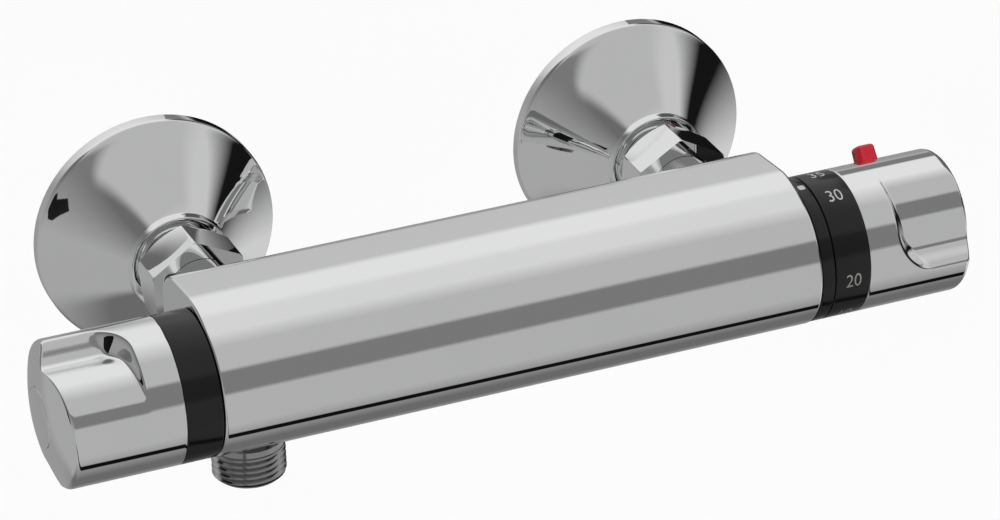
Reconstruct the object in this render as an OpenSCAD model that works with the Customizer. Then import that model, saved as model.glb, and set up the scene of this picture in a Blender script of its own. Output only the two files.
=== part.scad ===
// Thermostatic bar valve for a shower, in millimetres.
// The origin lies on the finished wall, midway between the two inlets.
// +X runs along the bar to the temperature handle, +Y into the wall, +Z up.

/* [Overall] */
// Distance between the two inlets
inlet_spacing = 150; // [140:1:160]
// Distance from the wall to the axis of the handles
axis_reach = 91; // [88:0.5:100]
// Drop of the handle axis below the inlet axis
axis_drop = 2; // [0:0.5:4]

/* [Bar] */
// Length of the bar from its middle to the flow end
bar_left = 91.9; // [90:0.1:96]
// Length of the bar from its middle to the temperature end
bar_right = 87.7; // [86:0.1:92]
// Radius of the round front
bar_front_r = 21.1; // [20.5:0.1:23]
// Radius of the crown behind the front
bar_crown_r = 21.3; // [20.5:0.1:23]
// Distance of the crown's centre behind the handle axis
bar_crown_back = 5; // [3:0.5:7]
// Height of the crown's centre above the handle axis
bar_crown_up = 2.2; // [0:0.1:3]
// Distance of the flat back behind the handle axis
bar_back = 30; // [29.5:0.5:33]
// Radius of the two back corners
bar_corner_r = 11; // [8:0.5:12]
// Height of the upper corner's centre above the handle axis
bar_corner_up = 11.4; // [9:0.1:12]
// Drop of the lower corner's centre below the handle axis
bar_corner_down = 8; // [6:0.5:10]
// Softening of the bar's end edges
bar_edge = 1; // [0.5:0.1:1.6]
// Radius of the mixed water passage in the middle
passage_r = 7; // [5:0.5:9]
// Radius of the hot water channel behind the passage
hot_channel_r = 4.2; // [3:0.1:4.4]
// Distance of the hot channel behind the handle axis
hot_channel_back = 21; // [20.5:0.1:22]

/* [Wall connections] */
// Radius of the standard half inch pipe thread
pipe_r = 10.4775; // [10:0.0025:11]
// Length of the thread that goes into the wall
wall_thread_len = 16; // [12:1:20]
// Offset of the wall thread from the inlet axis
union_offset = 7; // [3:0.5:9]
// Radius of the wall union's threaded barrel
barrel_r = 12; // [11.5:0.1:12.3]
// Distance of the barrel's open end from the wall
barrel_reach = 36.6; // [35:0.1:38]
// Radius of the barrel's bore
barrel_bore_r = 8; // [6.5:0.1:9]
// Radius of the bore behind the wall thread
wall_bore_r = 7; // [5:0.1:8]
// Thickness of the flange between thread and barrel
union_flange_len = 6; // [4:0.5:8]
// Width of that flange beyond the barrel
union_flange_lip = 1; // [0.5:0.5:3]

/* [Wall rose] */
// Outer radius of the rose
rose_r = 36; // [33:0.5:40]
// Width of the rose's rim
rose_rim = 5.1; // [4:0.1:7]
// Rounding of the rim's front edge
rose_lip = 1.5; // [0.8:0.1:2]
// Gap between the rose's collar and the nut
rose_clear = 3.3; // [2.5:0.1:5]
// Radius of the collar round the barrel
rose_collar_r = 15.2; // [14.4:0.1:17]
// Length of the collar
rose_collar_len = 2.6; // [2:0.1:4]
// Hollow of the rose's cone
rose_hollow = 1.2; // [0.5:0.1:2]
// Sheet thickness of the rose
rose_wall = 1.2; // [0.8:0.1:1.5]

/* [Union nut] */
// Width across the flats of the union nut
nut_flats = 27; // [26.6:0.1:30]
// Length of the nut
nut_len = 13.8; // [12.5:0.1:15]
// Thickness of the nut's front lip
nut_lip = 3; // [2:0.1:3.5]
// Turn of the left nut and of the right nut
nut_turn = [3.5, 1];
// Thickness of the flat washer
washer_len = 1.8; // [1:0.1:2.4]

/* [Inlet] */
// Radius of the inlet tail
tail_r = 10; // [9.4:0.1:10.4]
// Length of the tail's thread in the bar
tail_thread_len = 6.6; // [5:0.1:7.5]
// Thickness of the tail's collar
tail_collar_len = 2.2; // [1.5:0.1:2.6]
// Radius of the check valve's housing
check_r = 7.5; // [7:0.1:7.6]
// Length of the check valve's housing
check_len = 12.5; // [11.5:0.1:14]

/* [Outlet] */
// Distance of the outlet from the bar's middle
outlet_x = 78.3; // [77:0.1:80]
// Distance of the outlet behind the handle axis
outlet_back = 3; // [0:0.5:4]
// Drop of the outlet's end below the handle axis
outlet_drop = 31.5; // [30:0.1:35]
// Radius of the outlet's bore
outlet_bore_r = 7.6; // [6:0.1:8]
// Radius of the outlet's spigot in the bar
outlet_spigot_r = 9; // [8.8:0.1:9.6]

/* [Handles] */
// Outer radius of handles and rings
handle_r = 20.9; // [20.4:0.1:23]
// Length of a handle to its rim
handle_len = 32.6; // [31:0.1:36]
// Rise of the domed end
handle_dome = 3.3; // [2:0.1:5]
// Rounding between side and dome
handle_edge = 2; // [1:0.1:2.6]
// Wall thickness of the handles
handle_wall = 2.2; // [1.8:0.1:2.4]
// Radius of the hub on the spindle
hub_r = 7.5; // [7:0.1:8]
// Radius of the cap in the dome
cap_r = 8.5; // [8:0.1:9]
// Turn of the flow handle and of the temperature handle
handle_turn = [-60, -151];

/* [Finger scoops] */
// Number of scoops round a handle
scoop_count = 2; // [1:1:2]
// Radius of the scoop's rounded floor
scoop_floor_r = 15.7; // [15.2:0.1:17]
// Distance of the floor's centre from the handle axis
scoop_floor_shift = 6; // [5.4:0.1:6.4]
// Direction of the floor's centre, in degrees
scoop_floor_turn = -35; // [-40:1:-30]
// Radius of the valley at the deep side
scoop_valley_r = 2.2; // [1.6:0.1:3]
// Direction of the deep side's upper edge, in degrees
scoop_lip_turn = 70.7; // [68:0.1:72]
// Direction in which the deep side's wall rises, in degrees
scoop_wall_turn = 94.4; // [88:0.2:98]
// Distance of the scoop's shoulder from the handle's inner end
scoop_start = 10.5; // [9.5:0.1:13]
// Radius of the shoulder's corner
scoop_corner_r = 12; // [10:0.1:13]
// Slope of the shoulder, in degrees
scoop_draft = 30; // [15:1:40]

/* [Rings] */
// Length of the flow ring
flow_ring_len = 10.4; // [9:0.1:12]
// Length of the fixed index ring
index_ring_len = 3.8; // [3:0.1:5]
// Length of the number ring
number_ring_len = 10.8; // [9:0.1:12]
// Gap beside a turning ring
ring_gap = 0.3; // [0.2:0.05:0.4]
// Length of a ring's spigot in its handle
spigot_len = 3; // [2:0.1:3.6]
// Wall of a ring
ring_wall = 2; // [1.6:0.1:2.4]

/* [Safety button] */
// Width of the button
button_w = 6.2; // [5.6:0.1:8]
// Height of the button above the handle
button_rise = 5.3; // [3:0.1:6]
// Stroke of the button
button_stroke = 2; // [1:0.1:2.2]
// Distance of the button from the handle's inner end
button_place = 14.8; // [12:0.1:15.5]
// Direction of the button from the scoop's start, in degrees
button_turn = -65; // [-75:1:-45]

/* [Flow cartridge] */
// Radius of the bore for the flow cartridge
flow_bore_r = 13; // [12.6:0.1:13.6]
// Depth of that bore
flow_bore_len = 27.4; // [26.5:0.1:29]
// Radius of the cartridge's flange on the bar's end
flow_flange_r = 16; // [15:0.1:16.5]
// Thickness of that flange
flow_flange_len = 2.4; // [2:0.1:3]
// Radius of a ceramic disc
disc_r = 10.4; // [10:0.1:10.5]
// Thickness of a ceramic disc
disc_len = 3.4; // [2.6:0.1:3.6]
// Radius of a port in a ceramic disc
disc_port_r = 3.2; // [2:0.1:3.4]

/* [Thermostat cartridge] */
// Radius of the bore for the thermostat
therm_bore_r = 14.5; // [14.2:0.1:15]
// Depth of that bore
therm_bore_len = 56; // [55.6:0.1:60]
// Inner radius of the cartridge housing
therm_inner_r = 11.5; // [11.2:0.1:11.8]
// Distance of the hot port from the bar's middle
hot_port_x = 54; // [53:0.5:56]
// Width of the ports in the cartridge housing
port_w = 9; // [5:0.5:11]

/* [Spindles] */
// Radius of the two spindles
spindle_r = 4.05; // [3.8:0.05:4.4]
// Width of the spline's squares
spline_w = 5.6; // [5:0.1:5.9]
// Length of the spindle inside the handle
spindle_reach = 15.3; // [13:0.1:17]
// Radius of the handle screw
screw_r = 1.95; // [1.5:0.05:2.2]

/* [Hidden] */

$fn = 96;

// Clearances
run_fit = 0.05;
slip_fit = 0.1;
loose_fit = 0.4;
face_gap = 0.05;
seal_squeeze = 0.01;
fine_sides = 24;
overrun = 1;
edge_slice = 0.01;
arc_step = 4;

// Corners of the bar's section, each as height, depth and radius
bar_front = [0, 0, bar_front_r];
bar_crown = [bar_crown_up, bar_crown_back, bar_crown_r];
bar_upper = [bar_corner_up, bar_back - bar_corner_r, bar_corner_r];
bar_lower = [-bar_corner_down, bar_back - bar_corner_r, bar_corner_r];

// Stations along an inlet, measured from the wall
back_reach = axis_reach - bar_back;
washer_end = barrel_reach + washer_len;
collar_end = washer_end + tail_collar_len;
// The nut's lip draws the tail's collar against the washer
nut_end = collar_end + slip_fit + nut_lip;
nut_start = nut_end - nut_len;
rose_depth = nut_start - rose_clear;
thread_end = back_reach + tail_thread_len;
tail_collar_r = 11.6;
tail_bore_r = 6;
strainer_len = 1.4;
strainer_hole_r = 0.6;
strainer_pitch = 1.9;
strainer_turns = 3;
check_start = washer_end + strainer_len;
seat_len = 1.5;
seat_r = 4.4;
check_bore_r = 5.8;
poppet_r = 5.3;
poppet_len = 1.5;
stem_r = 1.2;
rose_lip_turn = 56;
guide_len = 2;
guide_ring_r = 2.6;
spoke_w = 1.4;
guide_start = check_start + check_len - guide_len - 2 * ring_gap;
union_flange_start = 2;
barrel_start = union_flange_start + union_flange_len;
mix_len = 2;
nut_chamfer = 1.4;

// Stations along the handle axis, measured outward from a bar end
flow_handle_at = ring_gap + flow_ring_len;
number_ring_at = index_ring_len + ring_gap;
temp_handle_at = number_ring_at + number_ring_len;

// Handle details, measured outward from its inner end
cavity_r = handle_r - handle_wall - 0.1 * handle_wall;
hub_start = 5;
face_len = 3;
cap_len = 2.3;
cap_floor = handle_len + handle_dome - cap_len;
screw_head_r = 3.6;
screw_head_len = 2.6;
screw_seat = cap_floor - screw_head_len - slip_fit;
// Length of the screw inside the spindle
screw_grip = 6.9;
screw_len = screw_seat - spindle_reach + screw_grip;
hex_key_r = 1.45;
hex_key_len = 1.4;
scoop_middle = 37;
scoop_reach = 2 * handle_r;
dome_r = (pow(handle_r - handle_edge, 2) + pow(handle_dome, 2)) / (2 * handle_dome);

// Flow cartridge details, measured inward from the bar end
flow_neck_r = 9.2;
flow_neck_len = 10.6;
waist_r = 11.7;
waist_w = 12;
chamber_r = 10.6;
chamber_start = 9;
window_r = 5;
seal_minor_r = 0.65;
flow_seal_at = 4;
end_seal_len = 1;
coupler_r = 9;
coupler_len = 3.2;
tang_w = 4;
tang_len = 13;
tang_deep = 1.4;
port_shift = 5.8;
outlet_in = bar_left - outlet_x;
spindle_seal_at = 4;
spindle_groove_r = 2.95;
spindle_seal_minor_r = 0.55;

// Thermostat details, measured inward from the bar end
nut_thread_len = 4.5;
cold_in = bar_right - inlet_spacing / 2;
hot_in = bar_right - hot_port_x;
groove_w = 10;
groove_r = 12.9;
seal_r = 0.9;
seal_w = 2;
seal_places = [6.1, 23.6, 45];
end_wall_len = 3;
sleeve_start = 17.4;
sleeve_len = 12;
sleeve_end = sleeve_start + sleeve_len;
sleeve_r = therm_inner_r - slip_fit;
sleeve_inner_r = 9.6;
seat_gap = 1.4;
seat_rib_len = 1.6;
seat_rib_r = 9.2;
port_len = 2.8;
cold_port_at = sleeve_start - seat_gap;
hot_port_at = sleeve_end + seat_gap - port_len;
web_len = 2;
web_at = 22;
web_hole_r = 0.8;
web_holes = 8;
return_turns = 7;
button_turns = 4;
overtravel_turns = 3;
bulb_r = 4.6;
bulb_len = 16;
element_flange_r = 7.6;
element_flange_len = 2;
guide_r = 3.5;
guide_reach = 6.5;
piston_r = 1.5;
plate_at = 11.8;
plate_len = 1.2;
plate_r = 7.8;
cup_r = 9.5;
cup_bore_r = 5.65;
cup_chamber_r = 8;
cup_step_at = 4;
cup_lip_len = 1;
cup_lip_r = 5.5;
cup_top = 2.5;
drum_len = 8.8;
drum_top = 5.8;
headwork_r = 15;
headwork_len = 4;
hex_flats = 24;
hex_len = 5;
head_top = 13;
head_r = 8;
head_cavity_r = 9.6;
head_cavity_top = 6;
stop_ring_at = 9.3;
stop_ring_len = 2.2;
stop_ring_r = 16;
lug_r = 14.6;
lug_w = 3;
lug_gap = 0.5;

// Turn of the temperature handle to its cold stop and to its hot stop, from the drawn position
cold_turn = -128;
hot_turn = 115;

// Safety button details, measured from the handle axis
flange_lip = 1.2;
flange_w = button_w + 2 * flange_lip;
flange_len = 1.8;
flange_top = cavity_r - ring_gap;
flange_low = flange_top - flange_len;
button_top = handle_r + button_rise;
button_inset = 1.2;
button_round = 1.6;
button_pin_r = 1.8;
button_pin_end = hub_r + button_stroke + loose_fit;
nose_top = cavity_r - slip_fit - ring_wall - loose_fit;
nose_len = 1.5;
nose_w = 3;
spring_wire_r = 0.3;
nose_reach = 2.6;
stop_angle = asin(nose_w / 2 / lug_r) + asin(lug_w / 2 / lug_r) + lug_gap;
nose_at = handle_turn[1] + button_turn;
lug_top = temp_handle_at - lug_gap;

// Flow stops
tongue_r = 10.2;
tongue_w = 4.8;
rib_r = 9.3;
rib_w = 2.4;
rib_angle = asin(tongue_w / 2 / rib_r) + asin(rib_w / 2 / rib_r) + lug_gap;
flow_turn = 90;

// Circle, arc and tangent helpers

function arc(c, r, a0, a1, n) =
    [for (i = [0:n]) c + r * [cos(a0 + (a1 - a0) * i / n), sin(a0 + (a1 - a0) * i / n)]];

// Shallow arc from p to q that bows by sag to the right of its path
function bow(p, q, sag, n) =
    let (d = q - p, side = [d.y, -d.x] / norm(d))
    [for (i = [0:n]) let (t = i / n) p + t * d + 4 * t * (1 - t) * sag * side];

// Direction, in degrees, of the outer tangent's foot from circle a to circle b
function foot(a, b) =
    let (d = [b.x - a.x, b.y - a.y], u = d / norm(d), s = (a.z - b.z) / norm(d),
         n = s * u + sqrt(1 - s * s) * [u.y, -u.x])
    atan2(n.y, n.x);

// Points of the convex outline round circles that are listed counterclockwise
function round_outline(circles, inset) =
    let (last = len(circles) - 1)
    [for (i = [0:last])
        let (c = circles[i], from = foot(circles[i == 0 ? last : i - 1], c),
             to = foot(c, circles[i == last ? 0 : i + 1]), turn = (to - from + 360) % 360)
        each arc([c.x, c.y], c.z - inset, from, from + turn, ceil(turn / arc_step))];

module tube(outer, inner, length) {
    difference() {
        cylinder(r = outer, h = length);
        translate([0, 0, -overrun]) cylinder(r = inner, h = length + 2 * overrun);
    }
}

// Places: each turns its own +Z outward from a bar end, or from the wall to the bar
module at_left() {
    translate([-bar_left, -axis_reach, -axis_drop]) rotate([0, -90, 0]) children();
}

module at_right() {
    translate([bar_right, -axis_reach, -axis_drop]) rotate([0, 90, 0]) children();
}

module at_inlet(side) {
    translate([side * inlet_spacing / 2, 0, 0]) rotate([90, 0, 0]) children();
}

// A wire wound on a screw line, as one tube
module coil(mean_r, wire_r, turns, length, sides = 6, steps = 16) {
    count = turns * steps;
    pitch = (length - 2 * wire_r) / turns;
    rings = [for (i = [0:count]) let (a = 360 * i / steps)
        [for (j = [0:sides - 1]) let (b = 360 * j / sides, r = mean_r + wire_r * cos(b))
            [r * cos(a), r * sin(a), wire_r + pitch * i / steps + wire_r * sin(b)]]];
    walls = [for (i = [0:count - 1], j = [0:sides - 1])
        let (k = (j + 1) % sides, p = i * sides, q = p + sides)
        each [[p + j, p + k, q + k], [p + j, q + k, q + j]]];
    ends = [for (j = [1:sides - 2])
        each [[0, j + 1, j], [count * sides, count * sides + j, count * sides + j + 1]]];
    polyhedron([for (ring = rings) each ring], concat(walls, ends), convexity = 10);
}

// Bar

// The section lies with its height along -X, so that it stands up once extruded
module bar_section(inset) {
    circles = [for (c = [bar_front, bar_lower, bar_upper, bar_crown]) [-c.x, c.y, c.z]];
    polygon(round_outline(circles, inset));
}

module bar_slice(at, inset) {
    translate([0, 0, at]) linear_extrude(edge_slice) bar_section(inset);
}

module bar_blank() {
    length = bar_left + bar_right;
    flank = bar_edge * (1 - sin(45));
    translate([0, 0, bar_edge]) linear_extrude(length - 2 * bar_edge) bar_section(0);
    for (end = [0, 1]) {
        way = end == 0 ? 1 : -1;
        from = end == 0 ? 0 : length - edge_slice;
        hull() {
            bar_slice(from, bar_edge);
            bar_slice(from + way * flank, flank);
        }
        hull() {
            bar_slice(from + way * flank, flank);
            bar_slice(from + way * bar_edge, 0);
        }
    }
}

module valve_body() {
    color("silver") difference() {
        translate([-bar_left, -axis_reach, -axis_drop]) rotate([0, 90, 0]) bar_blank();
        at_left() {
            translate([0, 0, -flow_bore_len]) cylinder(r = flow_bore_r, h = flow_bore_len + overrun);
            translate([0, 0, -bar_left - bar_right + therm_bore_len - overrun])
                cylinder(r = passage_r, h = bar_left + bar_right - therm_bore_len);
        }
        at_right()
            translate([0, 0, -therm_bore_len]) cylinder(r = therm_bore_r, h = therm_bore_len + overrun);
        // Hot water runs along the back to the thermostat
        translate([-inlet_spacing / 2, hot_channel_back - axis_reach, -axis_drop])
            rotate([0, 90, 0]) cylinder(r = hot_channel_r, h = inlet_spacing / 2 + hot_port_x);
        translate([hot_port_x, hot_channel_back - axis_reach, -axis_drop])
            rotate([90, 0, 0]) cylinder(r = hot_channel_r, h = hot_channel_back - flow_bore_r);
        for (side = [-1, 1]) at_inlet(side) {
            translate([0, 0, back_reach - overrun])
                cylinder(r = tail_r + run_fit, h = tail_thread_len + overrun + ring_gap);
            translate([0, 0, back_reach])
                cylinder(r = tail_bore_r, h = bar_back - hot_channel_back + hot_channel_r);
        }
        at_inlet(1) translate([0, 0, back_reach]) cylinder(r = tail_bore_r, h = bar_back - flow_bore_r);
        at_outlet() {
            cylinder(r = outlet_bore_r, h = outlet_drop);
            translate([0, 0, outlet_top])
                cylinder(r = outlet_spigot_r + run_fit, h = outlet_drop);
        }
    }
}

// Outlet, with +Z pointing down from the handle axis

outlet_wall = 2.5;
outlet_seat = 0.6;
outlet_top = flow_bore_r + outlet_wall;
outlet_step = bar_front_r + outlet_seat;

module at_outlet() {
    translate([-outlet_x, outlet_back - axis_reach, -axis_drop]) rotate([180, 0, 0]) children();
}

module outlet_nipple() {
    color("silver") at_outlet() difference() {
        union() {
            translate([0, 0, outlet_step]) cylinder(r = pipe_r, h = outlet_drop - outlet_step);
            translate([0, 0, outlet_top])
                cylinder(r = outlet_spigot_r, h = outlet_step - outlet_top + edge_slice);
        }
        translate([0, 0, outlet_top - overrun])
            cylinder(r = outlet_bore_r, h = outlet_drop - outlet_top + 2 * overrun);
    }
}

// Wall connections

module wall_union(side) {
    color("silver") at_inlet(side) difference() {
        union() {
            translate([0, union_offset, -wall_thread_len])
                cylinder(r = pipe_r, h = wall_thread_len + union_flange_start + edge_slice);
            translate([0, union_offset / 2, union_flange_start])
                cylinder(r = barrel_r + union_offset / 2 + union_flange_lip, h = union_flange_len);
            translate([0, 0, barrel_start - edge_slice])
                cylinder(r = barrel_r, h = barrel_reach - barrel_start + edge_slice);
        }
        translate([0, union_offset, -wall_thread_len - overrun])
            cylinder(r = wall_bore_r, h = wall_thread_len + overrun + union_flange_start + mix_len);
        translate([0, 0, union_flange_start + mix_len / 2])
            cylinder(r = barrel_bore_r, h = barrel_reach);
    }
}

module wall_rose(side) {
    cone_top = rose_depth - rose_collar_len;
    inner_top = rose_depth - rose_wall;
    hole_r = barrel_r + slip_fit;
    lip_at = [rose_r - rose_lip, rose_rim - rose_lip];
    slope_from = lip_at + rose_lip * [cos(rose_lip_turn), sin(rose_lip_turn)];
    slope = bow(slope_from, [rose_collar_r, cone_top], -rose_hollow, 16);
    outside = concat(
        [[rose_r, 0]],
        arc(lip_at, rose_lip, 0, rose_lip_turn, 6),
        [for (i = [1:len(slope) - 1]) slope[i]],
        [[rose_collar_r, rose_depth], [hole_r, rose_depth]]);
    inside = concat(
        [[hole_r, inner_top], [rose_collar_r - rose_wall, inner_top]],
        bow([rose_collar_r - rose_wall, cone_top - rose_wall / 2],
            [rose_r - 2 * rose_lip - rose_wall, rose_rim - rose_wall], rose_hollow, 16),
        [[rose_r - rose_wall, rose_rim - rose_lip - rose_wall / 2], [rose_r - rose_wall, 0]]);
    color("silver") at_inlet(side) rotate_extrude() polygon(concat(outside, inside));
}

module union_nut(side) {
    hex_r = nut_flats / sqrt(3);
    color("silver") at_inlet(side) rotate([0, 0, 90 + nut_turn[side < 0 ? 0 : 1]]) difference() {
        intersection() {
            translate([0, 0, nut_start]) cylinder(r = hex_r, h = nut_len, $fn = 6);
            rotate_extrude() polygon([
                [0, nut_start], [nut_flats / 2, nut_start], [hex_r, nut_start + nut_chamfer],
                [hex_r, nut_end], [0, nut_end]]);
        }
        translate([0, 0, nut_start - overrun])
            cylinder(r = barrel_r + run_fit, h = nut_len - nut_lip + overrun);
        translate([0, 0, nut_start]) cylinder(r = tail_r + slip_fit, h = nut_len + overrun);
    }
}

module union_washer(side) {
    color("dimgray") at_inlet(side) translate([0, 0, barrel_reach])
        tube(tail_collar_r, barrel_bore_r, washer_len);
}

module inlet_tail(side) {
    color("silver") at_inlet(side) difference() {
        union() {
            translate([0, 0, washer_end]) cylinder(r = tail_collar_r, h = tail_collar_len);
            translate([0, 0, collar_end - edge_slice])
                cylinder(r = tail_r, h = thread_end - collar_end + edge_slice);
        }
        translate([0, 0, washer_end - overrun])
            cylinder(r = check_r + run_fit, h = strainer_len + check_len + overrun);
        translate([0, 0, washer_end]) cylinder(r = tail_bore_r, h = thread_end - washer_end + overrun);
    }
}

module inlet_strainer(side) {
    color("gainsboro") at_inlet(side) translate([0, 0, washer_end]) difference() {
        cylinder(r = check_r, h = strainer_len);
        for (ring = [0:strainer_turns - 1], k = [0:max(0, 6 * ring - 1)])
            rotate([0, 0, 60 * k / max(ring, 1)]) translate([ring * strainer_pitch, 0, -overrun])
                cylinder(r = strainer_hole_r, h = strainer_len + 2 * overrun, $fn = 16);
    }
}

module check_housing(side) {
    color("ivory") at_inlet(side) {
        difference() {
            translate([0, 0, check_start]) cylinder(r = check_r, h = check_len);
            translate([0, 0, check_start - overrun]) cylinder(r = seat_r, h = check_len);
            translate([0, 0, check_start + seat_len])
                cylinder(r = check_bore_r, h = check_len + overrun);
        }
        translate([0, 0, guide_start]) {
            tube(guide_ring_r, stem_r + slip_fit, guide_len);
            for (k = [0:2]) rotate([0, 0, 120 * k])
                translate([guide_ring_r - slip_fit, -spoke_w / 2, 0])
                    cube([check_bore_r - guide_ring_r + 2 * slip_fit, spoke_w, guide_len]);
        }
    }
}

poppet_at = check_start + seat_len + face_gap;

module check_poppet(side) {
    color("ivory") at_inlet(side) {
        translate([0, 0, poppet_at]) cylinder(r = poppet_r, h = poppet_len);
        translate([0, 0, poppet_at])
            cylinder(r = stem_r, h = guide_start + guide_len + ring_gap - poppet_at);
    }
}

module check_spring(side) {
    spring_at = poppet_at + poppet_len + face_gap;
    color("lightsteelblue") at_inlet(side) translate([0, 0, spring_at])
        coil((stem_r + guide_ring_r) / 2 + slip_fit, spring_wire_r, 4, guide_start - spring_at - face_gap);
}

// Flow cartridge, measured inward from the left end of the bar

disc_at = flow_bore_len - end_seal_len;
turning_at = disc_at - disc_len - face_gap;
coupler_at = turning_at - disc_len;

module flow_housing() {
    color("goldenrod") at_left() {
        flow_housing_shell();
        for (turn = [-rib_angle, flow_turn + rib_angle]) rotate([0, 0, turn])
            translate([rib_r, -rib_w / 2, -coupler_at])
                cube([chamber_r - rib_r + slip_fit, rib_w, coupler_len]);
    }
}

module flow_housing_shell() {
    difference() {
        union() {
            translate([0, 0, -flow_bore_len]) cylinder(r = flow_bore_r - run_fit, h = flow_bore_len);
            cylinder(r = flow_flange_r, h = flow_flange_len);
            cylinder(r = flow_neck_r, h = flow_flange_len + flow_neck_len);
        }
        translate([0, 0, -flow_bore_len - overrun])
            cylinder(r = chamber_r, h = flow_bore_len - chamber_start + overrun);
        translate([0, 0, -chamber_start - overrun]) cylinder(r = spindle_r + run_fit,
            h = chamber_start + flow_neck_len + flow_flange_len + 2 * overrun);
        translate([0, 0, -outlet_in - waist_w / 2]) tube(flow_bore_r + overrun, waist_r, waist_w);
        for (quarter = [0, 90]) rotate([0, 0, quarter])
            translate([-flow_bore_r - overrun, 0, -outlet_in]) rotate([0, 90, 0])
                cylinder(r = window_r, h = 2 * flow_bore_r + 2 * overrun);
        translate([0, 0, -flow_seal_at])
            tube(flow_bore_r + overrun, flow_bore_r - 2 * seal_minor_r, 2 * seal_minor_r + slip_fit);
    }
}

module flow_housing_seal() {
    color("black") at_left() translate([0, 0, -flow_seal_at + seal_minor_r + slip_fit / 2])
        rotate_extrude() translate([flow_bore_r - seal_minor_r, 0])
            circle(seal_minor_r - seal_squeeze, $fn = fine_sides);
}

module flow_end_seal() {
    color("black") at_left() translate([0, 0, -flow_bore_len]) tube(disc_r, passage_r, end_seal_len);
}

module disc_ports() {
    for (side = [-1, 1]) translate([side * port_shift, 0, -overrun])
        cylinder(r = disc_port_r, h = disc_len + 2 * overrun);
}

module flow_fixed_disc() {
    color("whitesmoke") at_left() translate([0, 0, -disc_at]) difference() {
        cylinder(r = disc_r, h = disc_len);
        disc_ports();
    }
}

module flow_turning_disc() {
    color("whitesmoke") at_left() translate([0, 0, -turning_at]) difference() {
        cylinder(r = disc_r - run_fit, h = disc_len);
        rotate([0, 0, 90]) disc_ports();
        translate([-tang_len / 2 - slip_fit, -tang_w / 2 - slip_fit, disc_len - tang_deep - slip_fit])
            cube([tang_len + 2 * slip_fit, tang_w + 2 * slip_fit, tang_deep + overrun]);
    }
}

// Outer end of a spindle: two crossed squares that make a spline
module spline(length) {
    for (turn = [0, 45]) rotate([0, 0, turn])
        translate([-spline_w / 2, -spline_w / 2, 0]) cube([spline_w, spline_w, length]);
}

// Spindle from its inner end to its splined tip in the handle
module spindle_shaft(inner, plain, tip, turn) {
    difference() {
        union() {
            translate([0, 0, inner]) cylinder(r = spindle_r, h = plain - inner);
            translate([0, 0, plain - edge_slice]) rotate([0, 0, turn]) spline(tip - plain + edge_slice);
        }
        translate([0, 0, tip - spindle_reach + hub_start]) cylinder(r = screw_r + face_gap, h = tip);
        spindle_groove();
    }
}

module spindle_groove() {
    translate([0, 0, spindle_seal_at])
        tube(spindle_r + overrun, spindle_groove_r, 2 * spindle_seal_minor_r + slip_fit);
}

module spindle_seal() {
    color("black") translate([0, 0, spindle_seal_at + spindle_seal_minor_r + slip_fit / 2])
        rotate_extrude() translate([spindle_groove_r + spindle_seal_minor_r, 0])
            circle(spindle_seal_minor_r - seal_squeeze, $fn = fine_sides);
}

module flow_spindle() {
    tip = flow_handle_at + spindle_reach;
    color("darkgoldenrod") at_left() {
        intersection() {
            translate([0, 0, -coupler_at]) cylinder(r = tongue_r, h = coupler_len);
            translate([-coupler_r, -tongue_w / 2, -coupler_at])
                cube([coupler_r + tongue_r, tongue_w, coupler_len]);
        }
        translate([-tang_len / 2, -tang_w / 2, -coupler_at - tang_deep])
            cube([tang_len, tang_w, tang_deep + edge_slice]);
        spindle_shaft(-coupler_at, flow_flange_len + flow_neck_len + slip_fit, tip, handle_turn[0]);
    }
}

module flow_spindle_seal() {
    at_left() spindle_seal();
}

// Handles and their rings

module handle_blank() {
    side = handle_len - handle_edge;
    rise = asin((handle_r - handle_edge) / dome_r);
    rotate_extrude() polygon(concat(
        [[0, 0], [handle_r, 0]],
        arc([handle_r - handle_edge, side], handle_edge, 0, 90 - rise, 4),
        arc([0, handle_len + handle_dome - dome_r], dome_r, 90 - rise, 90, 6)));
}

// Section of a scoop across the handle: a rounded floor, a valley and a rising wall
module scoop_section(grow) {
    floor_at = scoop_floor_shift * [cos(scoop_floor_turn), sin(scoop_floor_turn)];
    rise = [cos(scoop_wall_turn), sin(scoop_wall_turn)];
    // The valley's circle touches the floor's circle and the wall
    lip_side = handle_r * [cos(scoop_lip_turn), sin(scoop_lip_turn)] + scoop_valley_r * [rise.y, -rise.x];
    gap = lip_side - floor_at;
    along = gap * rise;
    back = along - sqrt(along * along - gap * gap + pow(scoop_floor_r + scoop_valley_r, 2));
    valley_at = lip_side - back * rise;
    line = valley_at - floor_at;
    meet = atan2(line.y, line.x);
    polygon(concat(
        arc(floor_at, scoop_floor_r - grow, scoop_floor_turn, meet, 20),
        arc(valley_at, scoop_valley_r + grow, meet + 180, scoop_wall_turn + 90, 8),
        [valley_at + (scoop_valley_r + grow) * [-rise.y, rise.x] + scoop_reach * rise],
        [for (turn = [scoop_middle, 0, scoop_floor_turn]) scoop_reach * [cos(turn), sin(turn)]]));
}

// Finger scoop, grown on all sides for the cavity behind it
module scoop(grow) {
    corner_at = scoop_start + scoop_corner_r;
    wide = scoop_corner_r + grow;
    intersection() {
        linear_extrude(handle_len + handle_dome + overrun) scoop_section(grow);
        // Plan with its round corner, leant over for the sloped shoulder
        rotate([0, 0, scoop_middle]) translate([handle_r, 0, scoop_start])
            rotate([0, scoop_draft, 0]) rotate([90, 0, 90])
                translate([0, -scoop_start, -2 * handle_r]) linear_extrude(4 * handle_r)
                    polygon(concat(
                        [[-scoop_reach, 2 * handle_len], [-scoop_reach, corner_at - wide]],
                        arc([0, corner_at], wide, -90, 0, 8),
                        [[wide, 2 * handle_len]]));
    }
}

module scoops(grow) {
    for (k = [0:scoop_count - 1]) rotate([0, 0, 180 * k]) scoop(grow);
}

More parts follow.
